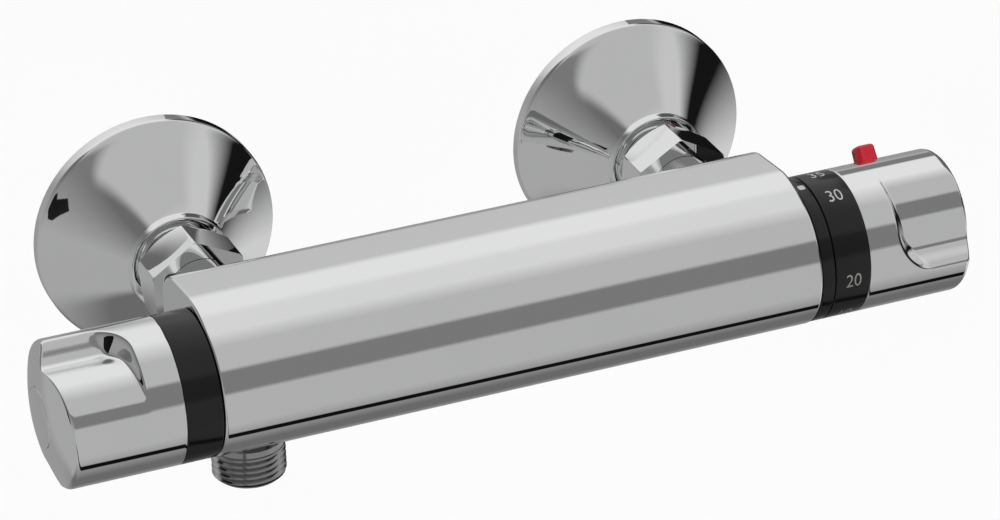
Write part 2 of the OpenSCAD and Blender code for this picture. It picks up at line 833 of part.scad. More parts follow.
module handle_shell() {
    cavity_end = handle_len - face_len;
    difference() {
        union() {
            difference() {
                handle_blank();
                difference() {
                    translate([0, 0, -overrun]) cylinder(r = cavity_r, h = cavity_end + overrun);
                    scoops(handle_wall);
                }
                scoops(0);
            }
            translate([0, 0, hub_start]) cylinder(r = hub_r, h = cavity_end - hub_start + edge_slice);
        }
        translate([0, 0, hub_start - overrun])
            spline_socket(spindle_reach - hub_start + overrun + slip_fit);
        translate([0, 0, hub_start]) cylinder(r = screw_r + slip_fit, h = handle_len);
        translate([0, 0, screw_seat]) cylinder(r = screw_head_r + slip_fit, h = handle_len);
        translate([0, 0, cap_floor]) cylinder(r = cap_r + face_gap, h = handle_len);
    }
}

module spline_socket(length) {
    wide = spline_w + 2 * face_gap;
    for (turn = [0, 45]) rotate([0, 0, turn])
        translate([-wide / 2, -wide / 2, 0]) cube([wide, wide, length]);
}

module handle_cap() {
    intersection() {
        handle_blank();
        translate([0, 0, cap_floor]) cylinder(r = cap_r, h = handle_len);
    }
}

module handle_screw() {
    difference() {
        union() {
            translate([0, 0, screw_seat]) cylinder(r = screw_head_r, h = screw_head_len);
            translate([0, 0, screw_seat - screw_len]) cylinder(r = screw_r, h = screw_len + edge_slice);
        }
        translate([0, 0, screw_seat + screw_head_len - hex_key_len])
            cylinder(r = hex_key_r, h = hex_key_len + overrun, $fn = 6);
    }
}

module turning_ring(length) {
    tube(handle_r, handle_r - ring_wall, length);
    translate([0, 0, length - ring_wall])
        tube(cavity_r - slip_fit, cavity_r - slip_fit - ring_wall, spigot_len + ring_wall);
    translate([0, 0, length - ring_wall])
        tube(handle_r - ring_wall + edge_slice, cavity_r - slip_fit - ring_wall, ring_wall);
}

module flow_ring() {
    color("#1c1c1e") at_left() translate([0, 0, ring_gap]) turning_ring(flow_ring_len);
}

module flow_handle() {
    color("silver") at_left() translate([0, 0, flow_handle_at]) rotate([0, 0, handle_turn[0]])
        handle_shell();
}

module flow_handle_screw() {
    color("gray") at_left() translate([0, 0, flow_handle_at]) handle_screw();
}

module flow_handle_cap() {
    color("silver") at_left() translate([0, 0, flow_handle_at]) handle_cap();
}

// Thermostat cartridge, measured inward from the right end of the bar

module cartridge_housing() {
    length = therm_bore_len - nut_thread_len;
    color("goldenrod") at_right() difference() {
        union() {
            difference() {
                translate([0, 0, -therm_bore_len]) cylinder(r = therm_bore_r - slip_fit, h = length);
                translate([0, 0, end_wall_len - therm_bore_len]) cylinder(r = therm_inner_r, h = length);
            }
            // Seats for the cold and the hot edge of the regulating sleeve
            for (seat = [cold_port_at, sleeve_end + seat_gap + seat_rib_len])
                translate([0, 0, -seat]) tube(therm_inner_r + edge_slice, seat_rib_r, seat_rib_len);
        }
        translate([0, 0, -therm_bore_len - overrun]) cylinder(r = passage_r, h = end_wall_len + 2 * overrun);
        for (groove = [cold_in, hot_in]) translate([0, 0, -groove - groove_w / 2])
            tube(therm_bore_r + overrun, groove_r, groove_w);
        for (port = [cold_port_at, hot_port_at], k = [0:3]) rotate([0, 0, 90 * k])
            translate([seat_rib_r, -port_w / 2, -port - port_len])
                cube([therm_bore_r, port_w, port_len]);
        for (place = seal_places) translate([0, 0, -place - seal_w / 2])
            tube(therm_bore_r + overrun, therm_bore_r - 2 * seal_r, seal_w);
    }
}

module cartridge_seals() {
    color("black") at_right() for (place = seal_places) translate([0, 0, -place])
        rotate_extrude() translate([therm_bore_r - seal_r, 0])
            circle(seal_r - seal_squeeze, $fn = fine_sides);
}

module retaining_nut() {
    color("goldenrod") at_right() difference() {
        union() {
            translate([0, 0, -nut_thread_len])
                cylinder(r = therm_bore_r - run_fit, h = nut_thread_len + edge_slice);
            cylinder(r = headwork_r, h = headwork_len);
            cylinder(r = hex_flats / sqrt(3), h = headwork_len + hex_len, $fn = 6);
            cylinder(r = head_r, h = head_top);
        }
        translate([0, 0, -nut_thread_len - overrun])
            cylinder(r = head_cavity_r, h = nut_thread_len + head_cavity_top + overrun);
        cylinder(r = spindle_r + run_fit, h = head_top + overrun);
    }
}

module stop_ring() {
    color("white") at_right() difference() {
        union() {
            translate([0, 0, stop_ring_at]) cylinder(r = stop_ring_r, h = stop_ring_len);
            for (turn = [cold_turn - stop_angle, hot_turn + stop_angle])
                rotate([0, 0, nose_at + turn]) translate([lug_r, -lug_w / 2, stop_ring_at])
                    cube([stop_ring_r - lug_r, lug_w, lug_top - stop_ring_at]);
        }
        translate([0, 0, stop_ring_at - overrun])
            cylinder(r = head_r + face_gap, h = stop_ring_len + 2 * overrun);
    }
}

module index_ring() {
    color("#1c1c1e") at_right() tube(handle_r, headwork_r + face_gap, index_ring_len);
}

module temperature_spindle() {
    tip = temp_handle_at + spindle_reach;
    color("darkgoldenrod") at_right() {
        translate([0, 0, drum_top - drum_len]) cylinder(r = cup_bore_r - run_fit, h = drum_len);
        translate([0, 0, drum_top])
            spindle_shaft(-edge_slice, head_top - drum_top + slip_fit, tip - drum_top, handle_turn[1]);
    }
}

module temperature_spindle_seal() {
    at_right() translate([0, 0, drum_top]) spindle_seal();
}

module number_ring() {
    color("#1c1c1e") at_right() translate([0, 0, number_ring_at]) turning_ring(number_ring_len);
}

// Square with rounded corners
module button_square(width, height, round_r) {
    inner = width / 2 - round_r;
    linear_extrude(height) {
        for (x = [-1, 1], y = [-1, 1]) translate([x * inner, y * inner]) circle(round_r, $fn = 32);
        square([2 * inner, width], center = true);
        square([width, 2 * inner], center = true);
    }
}

// Turns +Z into the button's direction at its place on the handle
module at_button() {
    at_right() translate([0, 0, temp_handle_at + button_place]) rotate([0, 0, nose_at])
        rotate([0, 90, 0]) children();
}

module temperature_handle() {
    color("silver") difference() {
        at_right() translate([0, 0, temp_handle_at]) rotate([0, 0, handle_turn[1]]) handle_shell();
        at_button() translate([0, 0, flange_low])
            button_square(button_w + 2 * slip_fit, handle_r, button_round + slip_fit);
    }
}

module temperature_handle_screw() {
    color("gray") at_right() translate([0, 0, temp_handle_at]) handle_screw();
}

module temperature_handle_cap() {
    color("silver") at_right() translate([0, 0, temp_handle_at]) handle_cap();
}

module safety_button() {
    color("red") at_button() {
        intersection() {
            translate([0, 0, flange_low]) button_square(flange_w, handle_r, button_round);
            rotate([0, 90, 0]) cylinder(r = flange_top, h = flange_w + overrun, center = true);
        }
        translate([0, 0, flange_low])
            button_square(button_w, button_top - button_inset - flange_low, button_round);
        translate([0, 0, button_top - button_inset - edge_slice])
            button_square(button_w - 2 * button_inset, button_inset, button_round / 2);
        translate([0, 0, nose_top - nose_len])
            button_square(button_w, flange_low - nose_top + nose_len + edge_slice, button_round);
        // Nose that meets the end stops
        translate([0, -nose_w / 2, nose_top - nose_len])
            cube([button_place + nose_reach, nose_w, nose_len]);
        translate([0, 0, button_pin_end])
            cylinder(r = button_pin_r, h = nose_top - nose_len - button_pin_end + edge_slice);
    }
}

module button_spring() {
    space = nose_top - nose_len - hub_r - 2 * face_gap;
    color("lightsteelblue") at_button() translate([0, 0, hub_r + face_gap])
        coil(button_pin_r + loose_fit + slip_fit, spring_wire_r, button_turns, space);
}

module regulating_nut() {
    color("darkgoldenrod") at_right() difference() {
        translate([0, 0, -plate_at - cup_lip_len]) cylinder(r = cup_r, h = plate_at + cup_lip_len + cup_top);
        translate([0, 0, -cup_step_at - overrun])
            cylinder(r = cup_bore_r, h = cup_step_at + cup_top + 2 * overrun);
        translate([0, 0, -plate_at]) cylinder(r = cup_chamber_r, h = plate_at - cup_step_at);
        translate([0, 0, -plate_at - cup_lip_len - overrun]) cylinder(r = cup_lip_r, h = plate_at);
    }
}

module overtravel_plate() {
    color("gainsboro") at_right() translate([0, 0, -plate_at]) cylinder(r = plate_r, h = plate_len);
}

module overtravel_spring() {
    low = plate_len + face_gap - plate_at;
    color("lightsteelblue") at_right() translate([0, 0, low])
        coil((cup_bore_r + cup_chamber_r) / 2, 2 * spring_wire_r, overtravel_turns, -cup_step_at - low - face_gap);
}

module wax_element() {
    color("peru") at_right() {
        translate([0, 0, -web_at - bulb_len]) cylinder(r = bulb_r, h = bulb_len + edge_slice);
        translate([0, 0, -web_at]) cylinder(r = element_flange_r, h = element_flange_len);
        translate([0, 0, -web_at]) cylinder(r = guide_r, h = element_flange_len + guide_reach);
        translate([0, 0, -web_at]) cylinder(r = piston_r, h = web_at - plate_at);
    }
}

module regulating_sleeve() {
    color("gainsboro") at_right() {
        translate([0, 0, -sleeve_end]) tube(sleeve_r, sleeve_inner_r, sleeve_len);
        translate([0, 0, -web_at - web_len]) difference() {
            cylinder(r = sleeve_inner_r + edge_slice, h = web_len);
            translate([0, 0, -overrun]) cylinder(r = bulb_r + slip_fit, h = web_len + 2 * overrun);
            for (k = [0:web_holes - 1]) rotate([0, 0, 360 * k / web_holes])
                translate([(element_flange_r + sleeve_inner_r) / 2, 0, -overrun])
                    cylinder(r = web_hole_r, h = web_len + 2 * overrun, $fn = fine_sides);
        }
    }
}

module return_spring() {
    low = end_wall_len - therm_bore_len + face_gap;
    space = -web_at - web_len - low - face_gap;
    color("lightsteelblue") at_right() translate([0, 0, low])
        coil(passage_r + spring_wire_r + slip_fit, 2 * spring_wire_r, return_turns, space);
}

valve_body();
outlet_nipple();
wall_union(-1);  // wall_union_left
wall_union(1);  // wall_union_right
wall_rose(-1);  // wall_rose_left
wall_rose(1);  // wall_rose_right
union_nut(-1);  // union_nut_left
union_nut(1);  // union_nut_right
union_washer(-1);  // union_washer_left
union_washer(1);  // union_washer_right
inlet_tail(-1);  // inlet_tail_left
inlet_tail(1);  // inlet_tail_right
inlet_strainer(-1);  // inlet_strainer_left
inlet_strainer(1);  // inlet_strainer_right
check_housing(-1);  // check_housing_left
check_housing(1);  // check_housing_right
check_poppet(-1);  // check_poppet_left
check_poppet(1);  // check_poppet_right
check_spring(-1);  // check_spring_left
check_spring(1);  // check_spring_right
flow_housing();
flow_housing_seal();
flow_end_seal();
flow_fixed_disc();
flow_turning_disc();
flow_spindle();
flow_spindle_seal();
flow_ring();
flow_handle();
flow_handle_screw();
flow_handle_cap();
cartridge_housing();
cartridge_seals();
retaining_nut();
stop_ring();
index_ring();
temperature_spindle();
temperature_spindle_seal();
number_ring();
temperature_handle();
temperature_handle_screw();
temperature_handle_cap();
regulating_nut();
overtravel_plate();
overtravel_spring();
wax_element();
regulating_sleeve();
return_spring();
safety_button();
button_spring();
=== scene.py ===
import bpy
import bmesh
import numpy as np
from math import acos, atan2, cos, degrees, pi, radians, sin, sqrt, tan, tau
from mathutils import Matrix, Vector


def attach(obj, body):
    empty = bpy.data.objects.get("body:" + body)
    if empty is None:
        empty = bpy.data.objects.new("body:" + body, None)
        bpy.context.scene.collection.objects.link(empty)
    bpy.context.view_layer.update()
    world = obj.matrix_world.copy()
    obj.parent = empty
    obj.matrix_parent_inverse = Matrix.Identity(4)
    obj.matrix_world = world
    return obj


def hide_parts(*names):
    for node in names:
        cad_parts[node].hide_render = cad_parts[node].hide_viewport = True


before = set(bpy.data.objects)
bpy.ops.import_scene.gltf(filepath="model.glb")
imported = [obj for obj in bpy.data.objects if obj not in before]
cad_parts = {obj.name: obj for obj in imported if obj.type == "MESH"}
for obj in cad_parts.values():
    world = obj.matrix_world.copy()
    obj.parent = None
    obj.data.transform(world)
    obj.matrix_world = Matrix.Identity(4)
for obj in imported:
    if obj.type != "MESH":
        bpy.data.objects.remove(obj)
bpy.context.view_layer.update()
print("frame loaded")

scene = bpy.context.scene
scene.view_settings.view_transform = "Standard"
mm = 0.001

# Places in millimetres, measured from the wall's face between the two inlets
barAxis = {"y": -91, "z": -2}
barEnds = {"left": -91.9, "right": 87.7}
inletX = 75
outletSpot = {"x": -78.3, "y": -88, "z": -2}


# Seats: each local +Z points outward from a bar end, away from the wall, or down from the outlet

def placeMatrix(x, y, z, localX, localY, localZ):
    rows = zip(localX, localY, localZ)
    return Matrix.Translation((x * mm, y * mm, z * mm)) @ Matrix([list(r) for r in rows]).to_4x4()


def atLeft():
    return placeMatrix(barEnds["left"], barAxis["y"], barAxis["z"], (0, 0, 1), (0, 1, 0), (-1, 0, 0))


def atRight():
    return placeMatrix(barEnds["right"], barAxis["y"], barAxis["z"], (0, 0, -1), (0, 1, 0), (1, 0, 0))


def atInlet(side):
    return placeMatrix(side * inletX, 0, 0, (1, 0, 0), (0, 0, 1), (0, -1, 0))


def atOutlet():
    return placeMatrix(outletSpot["x"], outletSpot["y"], outletSpot["z"], (1, 0, 0), (0, -1, 0), (0, 0, -1))


# Mesh helpers, in millimetres until the piece is placed

def bevelled(bm, geom, width, segments=6, affect="EDGES"):
    bmesh.ops.bevel(bm, geom=geom, offset=width, offset_type="OFFSET", segments=segments, profile=0.5,
                    affect=affect, material=-1)


def wire(bm, points, rounds=()):
    verts = [bm.verts.new((r, 0, z)) for r, z in points]
    for a, b in zip(verts, verts[1:]):
        bm.edges.new((a, b))
    for index, radius in rounds:
        bevelled(bm, [verts[index]], radius, affect="VERTICES")
    return bm.verts[:] + bm.edges[:]


def spun(points, rounds=(), steps=128):
    bm = bmesh.new()
    outline = wire(bm, points, rounds)
    bmesh.ops.spin(bm, geom=outline, cent=(0, 0, 0), axis=(0, 0, 1), angle=tau, steps=steps, use_merge=True)
    bmesh.ops.remove_doubles(bm, verts=bm.verts[:], dist=1e-4)
    bmesh.ops.recalc_face_normals(bm, faces=bm.faces[:])
    return bm


def screwThread(profile, pitch, turns, low, high, steps=96):
    bm = bmesh.new()
    outline = wire(bm, profile)
    bmesh.ops.spin(bm, geom=outline, cent=(0, 0, 0), axis=(0, 0, 1), angle=tau * turns,
                   dvec=(0, 0, pitch / steps), steps=steps * turns, use_merge=False)
    bmesh.ops.remove_doubles(bm, verts=bm.verts[:], dist=1e-4)
    for at, outer in ((low, False), (high, True)):
        geom = bm.verts[:] + bm.edges[:] + bm.faces[:]
        bmesh.ops.bisect_plane(bm, geom=geom, plane_co=(0, 0, at), plane_no=(0, 0, 1), dist=1e-5,
                               clear_outer=outer, clear_inner=not outer)
    bmesh.ops.recalc_face_normals(bm, faces=bm.faces[:])
    return bm


def uprightEdges(bm, least):
    return [e for e in bm.edges if abs(e.verts[0].co.z - e.verts[1].co.z) > least]


# Block with rounded uprights, narrower at the top by its taper
def roundedBlock(width, depth, low, high, corner, segments, taper=1):
    middle = (low + high) / 2
    bm = bmesh.new()
    bmesh.ops.create_cube(bm, size=1, matrix=Matrix.Translation((0, 0, middle)) @
                          Matrix.Diagonal((width, depth, high - low, 1)))
    for v in bm.verts:
        if v.co.z > middle:
            v.co.x *= taper
            v.co.y *= taper
    bevelled(bm, uprightEdges(bm, (high - low) / 2), corner, segments)
    return bm


def joined(parts):
    whole = bmesh.new()
    for part in parts:
        spare = bpy.data.meshes.new("spare")
        part.to_mesh(spare)
        part.free()
        whole.from_mesh(spare)
        bpy.data.meshes.remove(spare)
    return whole


def moved(bm, matrix):
    bmesh.ops.transform(bm, matrix=matrix, verts=bm.verts[:])
    return bm


def finished(name, bm, matrix, material, sharp=35):
    bmesh.ops.transform(bm, matrix=matrix @ Matrix.Scale(mm, 4), verts=bm.verts[:])
    if matrix.determinant() < 0:
        bmesh.ops.reverse_faces(bm, faces=bm.faces[:])
    mesh = bpy.data.meshes.new(name)
    bm.to_mesh(mesh)
    bm.free()
    mesh.shade_smooth()
    mesh.set_sharp_from_angle(angle=radians(sharp))
    mesh.materials.append(material)
    piece = bpy.data.objects.new(name, mesh)
    scene.collection.objects.link(piece)
    return piece


def weighted(piece):
    smoothing = piece.modifiers.new("even shading", "WEIGHTED_NORMAL")
    smoothing.keep_sharp = True
    smoothing.weight = 80
    return piece


def carved(piece, *cutters, sharp=35):
    for cutter in cutters:
        cut = piece.modifiers.new("cut", "BOOLEAN")
        cut.operation = "DIFFERENCE"
        cut.solver = "EXACT"
        cut.object = cutter
    graph = bpy.context.evaluated_depsgraph_get()
    mesh = bpy.data.meshes.new_from_object(piece.evaluated_get(graph))
    piece.modifiers.clear()
    piece.data = mesh
    mesh.set_sharp_from_angle(angle=radians(sharp))
    for cutter in cutters:
        bpy.data.objects.remove(cutter)
    return piece


def plainRod(radius, low, high, steps=96):
    return spun([(0, low), (radius, low), (radius, high), (0, high)], steps=steps)


# Materials

# Shared grain and patches: uneven gloss, a fine bump and the share that mixes two tones
def surfaceGroup():
    group = bpy.data.node_groups.new("surfaceDetail", "ShaderNodeTree")
    face = group.interface
    for label, default in (("Grain scale", 400.0), ("Patch scale", 40.0), ("Low", 0.05), ("High", 0.1),
                           ("Bump", 0.05), ("Depth", 0.0001)):
        face.new_socket(name=label, in_out="INPUT", socket_type="NodeSocketFloat").default_value = default
    for label, kind in (("Roughness", "NodeSocketFloat"), ("Patches", "NodeSocketFloat"),
                        ("Normal", "NodeSocketVector")):
        face.new_socket(name=label, in_out="OUTPUT", socket_type=kind)
    nodes, links = group.nodes, group.links
    given, out = nodes.new("NodeGroupInput"), nodes.new("NodeGroupOutput")
    place = nodes.new("ShaderNodeTexCoord")
    patches = nodes.new("ShaderNodeTexNoise")
    patches.inputs["Detail"].default_value = 3
    grain = nodes.new("ShaderNodeTexNoise")
    grain.inputs["Detail"].default_value = 2
    links.new(place.outputs["Object"], patches.inputs["Vector"])
    links.new(place.outputs["Object"], grain.inputs["Vector"])
    links.new(given.outputs["Patch scale"], patches.inputs["Scale"])
    links.new(given.outputs["Grain scale"], grain.inputs["Scale"])
    spread = nodes.new("ShaderNodeMapRange")
    spread.inputs["From Min"].default_value = 0.35
    spread.inputs["From Max"].default_value = 0.65
    links.new(patches.outputs["Fac"], spread.inputs["Value"])
    links.new(given.outputs["Low"], spread.inputs["To Min"])
    links.new(given.outputs["High"], spread.inputs["To Max"])
    bump = nodes.new("ShaderNodeBump")
    links.new(given.outputs["Bump"], bump.inputs["Strength"])
    links.new(given.outputs["Depth"], bump.inputs["Distance"])
    links.new(grain.outputs["Fac"], bump.inputs["Height"])
    links.new(spread.outputs["Result"], out.inputs["Roughness"])
    links.new(patches.outputs["Fac"], out.inputs["Patches"])
    links.new(bump.outputs["Normal"], out.inputs["Normal"])
    return group


detail = surfaceGroup()


def detailed(name, look):
    material = bpy.data.materials.new(name)
    material.use_nodes = True
    tree = material.node_tree
    shader = tree.nodes["Principled BSDF"]
    group = tree.nodes.new("ShaderNodeGroup")
    group.node_tree = detail
    for label in ("Grain scale", "Patch scale", "Low", "High", "Bump", "Depth"):
        group.inputs[label].default_value = look[label]
    tree.links.new(group.outputs["Roughness"], shader.inputs["Roughness"])
    tree.links.new(group.outputs["Normal"], shader.inputs["Normal"])
    tint = tree.nodes.new("ShaderNodeMix")
    tint.data_type = "RGBA"
    tint.inputs["A"].default_value = (*look["dark"], 1)
    tint.inputs["B"].default_value = (*look["light"], 1)
    tree.links.new(group.outputs["Patches"], tint.inputs["Factor"])
    tree.links.new(tint.outputs["Result"], shader.inputs["Base Color"])
    shader.inputs["Metallic"].default_value = look["metal"]
    for label, value in look.get("more", {}).items():
        shader.inputs[label].default_value = value
    return material


chrome = detailed("polished chrome", {
    "Grain scale": 220, "Patch scale": 28, "Low": 0.012, "High": 0.03, "Bump": 0.02, "Depth": 0.0002,
    "dark": (0.9, 0.905, 0.91), "light": (0.94, 0.94, 0.94), "metal": 1})
# Outlet chrome with its base colour darkened: painted shade for the dark that the thread reflects under the
# bar
threadChromePaintedShade = detailed("thread chrome with painted shade", {
    "Grain scale": 500, "Patch scale": 60, "Low": 0.1, "High": 0.2, "Bump": 0.08, "Depth": 0.0002,
    "dark": (0.36, 0.36, 0.37), "light": (0.46, 0.46, 0.46), "metal": 1})
blackRing = detailed("black satin plastic", {
    "Grain scale": 2600, "Patch scale": 60, "Low": 0.1, "High": 0.16, "Bump": 0.04, "Depth": 0.0001,
    "dark": (0.006, 0.006, 0.0065), "light": (0.011, 0.0105, 0.01), "metal": 0,
    "more": {"Specular IOR Level": 0.42}})
redButton = detailed("red button plastic", {
    "Grain scale": 1500, "Patch scale": 120, "Low": 0.1, "High": 0.16, "Bump": 0.03, "Depth": 0.0001,
    "dark": (0.5, 0.003, 0.02), "light": (0.62, 0.006, 0.028), "metal": 0,
    "more": {"Subsurface Weight": 0.08, "Subsurface Radius": (0.003, 0.0006, 0.0004), "Coat Weight": 0.3,
             "Coat Roughness": 0.05}})
printWhite = detailed("printed marks", {
    "Grain scale": 3000, "Patch scale": 300, "Low": 0.5, "High": 0.6, "Bump": 0.05, "Depth": 0.00005,
    "dark": (0.4, 0.4, 0.39), "light": (0.52, 0.52, 0.51), "metal": 0})
brass = detailed("turned brass", {
    "Grain scale": 900, "Patch scale": 50, "Low": 0.22, "High": 0.34, "Bump": 0.15, "Depth": 0.0002,
    "dark": (0.6, 0.42, 0.17), "light": (0.76, 0.57, 0.27), "metal": 1})
steel = detailed("spring steel", {
    "Grain scale": 1200, "Patch scale": 80, "Low": 0.2, "High": 0.3, "Bump": 0.1, "Depth": 0.0001,
    "dark": (0.5, 0.5, 0.5), "light": (0.62, 0.62, 0.61), "metal": 1})
rubber = detailed("seal rubber", {
    "Grain scale": 1800, "Patch scale": 90, "Low": 0.6, "High": 0.75, "Bump": 0.25, "Depth": 0.0002,
    "dark": (0.012, 0.012, 0.012), "light": (0.025, 0.025, 0.024), "metal": 0})
whitePlastic = detailed("white plastic", {
    "Grain scale": 1400, "Patch scale": 70, "Low": 0.35, "High": 0.48, "Bump": 0.1, "Depth": 0.0001,
    "dark": (0.72, 0.71, 0.67), "light": (0.82, 0.81, 0.78), "metal": 0,
    "more": {"Subsurface Weight": 0.05, "Subsurface Radius": (0.002, 0.002, 0.002)}})
print("materials made")


# Bar

# Each circle is up, back and radius; bores are radius, start and end along their axis
def barPiece():
    shape = {"circles": ((0, 0, 21.1), (2.2, 5, 21.3), (11.4, 19, 11), (-8, 19, 11)), "steps": 180, "edge": 1,
             "flowBore": (13, -27.4, 1), "thermostatBore": (14.5, -56, 1), "outletBore": (9.05, 16, 40),
             "inletBore": (10.05, 60, 67.9)}
    bm = bmesh.new()
    for up, back, radius in shape["circles"]:
        for x in barEnds.values():
            upright = Matrix.Translation((x, back, up)) @ Matrix.Rotation(pi / 2, 4, "Y")
            bmesh.ops.create_circle(bm, cap_ends=False, segments=shape["steps"], radius=radius,
                                    matrix=upright)
    hull = bmesh.ops.convex_hull(bm, input=bm.verts[:])
    inner = [v for v in hull["geom_interior"] if isinstance(v, bmesh.types.BMVert)]
    bmesh.ops.delete(bm, geom=inner, context="VERTS")
    bmesh.ops.dissolve_limit(bm, angle_limit=radians(0.1), verts=bm.verts[:], edges=bm.edges[:])
    rims = [e for e in bm.edges if abs(e.verts[0].co.x - e.verts[1].co.x) < 1e-3]
    bevelled(bm, rims, shape["edge"])
    bmesh.ops.recalc_face_normals(bm, faces=bm.faces[:])
    placed = placeMatrix(0, barAxis["y"], barAxis["z"], (1, 0, 0), (0, 1, 0), (0, 0, 1))
    piece = finished("bar", bm, placed, chrome)
    bores = (("flowBore", atLeft()), ("thermostatBore", atRight()), ("outletBore", atOutlet()),
             ("inletBore", atInlet(-1)), ("inletBore", atInlet(1)))
    cutters = [finished(key, plainRod(*shape[key]), place, chrome) for key, place in bores]
    return weighted(carved(piece, *cutters))


bar = barPiece()
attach(bar, "bar")
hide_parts("valve_body")
print("bar made")


# Outlet, with the G 1/2 thread that the wall unions also have

halfInch = {"crest": 10.4775, "root": 9.35, "pitch": 1.814}


def outletPiece():
    size = {"low": 23.2, "high": 33.5, "bore": 7.6, "top": 16, "spigot": 9, "lead": 1, "neck": 0.6,
            "edge": 0.4, "sink": 0.05}
    crest, root, pitch = halfInch["crest"], halfInch["root"], halfInch["pitch"]
    profile = [(root, 0), (root + 0.18, 0.1 * pitch), (crest - 0.18, 0.4 * pitch), (crest, 0.47 * pitch),
               (crest, 0.55 * pitch), (crest - 0.18, 0.62 * pitch), (root + 0.18, 0.9 * pitch), (root, pitch)]
    low, high = size["low"] + size["neck"], size["high"] - size["lead"]
    bore, spigot, end, edge = size["bore"], size["spigot"], size["high"], size["edge"]
    inner = root + size["sink"]
    thread = moved(screwThread(profile, pitch, 8, 1.5 * pitch, 1.5 * pitch + high - low),
                   Matrix.Translation((0, 0, low - 1.5 * pitch)))
    core = spun([(bore, size["top"]), (spigot, size["top"]), (spigot, size["low"] - 1),
                 (inner, size["low"] - 0.8), (inner, end - edge), (root - edge, end), (bore + edge, end),
                 (bore, end - edge), (bore, size["top"])])
    lead = spun([(root, high - size["sink"]), (crest - 0.35, high - size["sink"]), (root, end - 0.35)])
    collar = spun([(root - 0.5, size["low"] - 1.5), (crest - 0.25, size["low"] - 1.5),
                   (crest - 0.25, low - 0.35), (root, low + 0.3)])
    # The whole outlet takes the darkened chrome, painted shade under the bar
    return finished("outlet", joined([thread, core, lead, collar]), atOutlet(), threadChromePaintedShade, 50)


outlet = outletPiece()
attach(outlet, "bar")
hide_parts("outlet_nipple")


# Wall connections

def bowed(p, q, sag, count):
    along = Vector(q) - Vector(p)
    side = Vector((along.y, -along.x)).normalized()
    points = [Vector(p) + along * (i / count) + side * (4 * (i / count) * (1 - i / count) * sag)
              for i in range(count + 1)]
    return [tuple(v) for v in points]


def rosePiece(name, side):
    size = {"r": 36, "rim": 5.1, "lip": 1.5, "lipTurn": 56, "depth": 26.6, "collar": 15.2,
            "collarLength": 2.6, "bow": 1.2, "wall": 1.2, "hole": 12.1, "foot": 0.3}
    outer, wall, foot = size["r"], size["wall"], size["foot"]
    coneTop, innerTop = size["depth"] - size["collarLength"], size["depth"] - wall
    shoulder = outer - 2 * size["lip"]
    lipAt = Vector((outer - size["lip"], size["rim"] - size["lip"]))
    turns = (radians(size["lipTurn"] * k / 8) for k in range(9))
    lip = [tuple(lipAt + size["lip"] * Vector((cos(a), sin(a)))) for a in turns]
    outside = [(outer - foot, 0), (outer, foot)] + lip
    slope = bowed(lip[-1], (size["collar"], coneTop), -size["bow"], 24)[1:]
    inside = bowed((size["collar"] - wall, coneTop - 0.6), (shoulder - wall, size["rim"] - wall),
                   size["bow"], 12)
    points = outside + slope + [(size["collar"], size["depth"]), (size["hole"], size["depth"]),
                                (size["hole"], innerTop), (size["collar"] - wall, innerTop)]
    points += inside + [(outer - wall, size["rim"] - 2.1), (outer - wall, 0), (outer - foot, 0)]
    end = len(outside) + len(slope)
    rounds = [(end - 1, 0.35), (end, 0.4), (end + 1, 0.2)]
    return finished(name, spun(points, rounds, 192), atInlet(side), chrome)


def nutPiece(name, side, turn):
    size = {"flats": 27, "start": 29.9, "length": 13.8, "chamfer": 2.94, "lip": 3, "barrel": 12.05,
            "tail": 10.1, "corner": 0.5, "front": 1.6, "frontDrop": 0.45, "soft": 0.25}
    reach, inside = size["flats"] / sqrt(3), size["flats"] / 2
    start, end = size["start"], size["start"] + size["length"]
    past, beyond, face = reach + 1, end + 1, inside + size["front"]
    placed = atInlet(side) @ Matrix.Rotation(radians(90 + turn), 4, "Z")
    bm = bmesh.new()
    bmesh.ops.create_cone(bm, cap_ends=True, segments=6, radius1=reach, radius2=reach, depth=size["length"],
                          matrix=Matrix.Translation((0, 0, start + size["length"] / 2)) @
                          Matrix.Rotation(pi / 2, 4, "Z"))
    bevelled(bm, uprightEdges(bm, 1), size["corner"], 4)
    piece = finished(name, bm, placed, chrome)
    chamfer = spun([(inside, start - 1), (inside, start), (past, start + size["chamfer"]), (past, start - 1),
                    (inside, start - 1)])
    front = spun([(face, beyond), (face, end), (past, end - size["frontDrop"]), (past, beyond),
                  (face, beyond)])
    hollow = spun([(0, start - 1), (size["barrel"], start - 1), (size["barrel"], end - size["lip"]),
                   (size["tail"], end - size["lip"]), (size["tail"], beyond), (0, beyond)])
    cutters = [finished("nut cut", c, placed, chrome) for c in (chamfer, front, hollow)]
    carved(piece, *cutters, sharp=28)
    soft = piece.modifiers.new("soft edges", "BEVEL")
    soft.width = size["soft"] * mm
    soft.segments = 3
    soft.limit_method = "ANGLE"
    soft.angle_limit = radians(28)
    return weighted(piece)


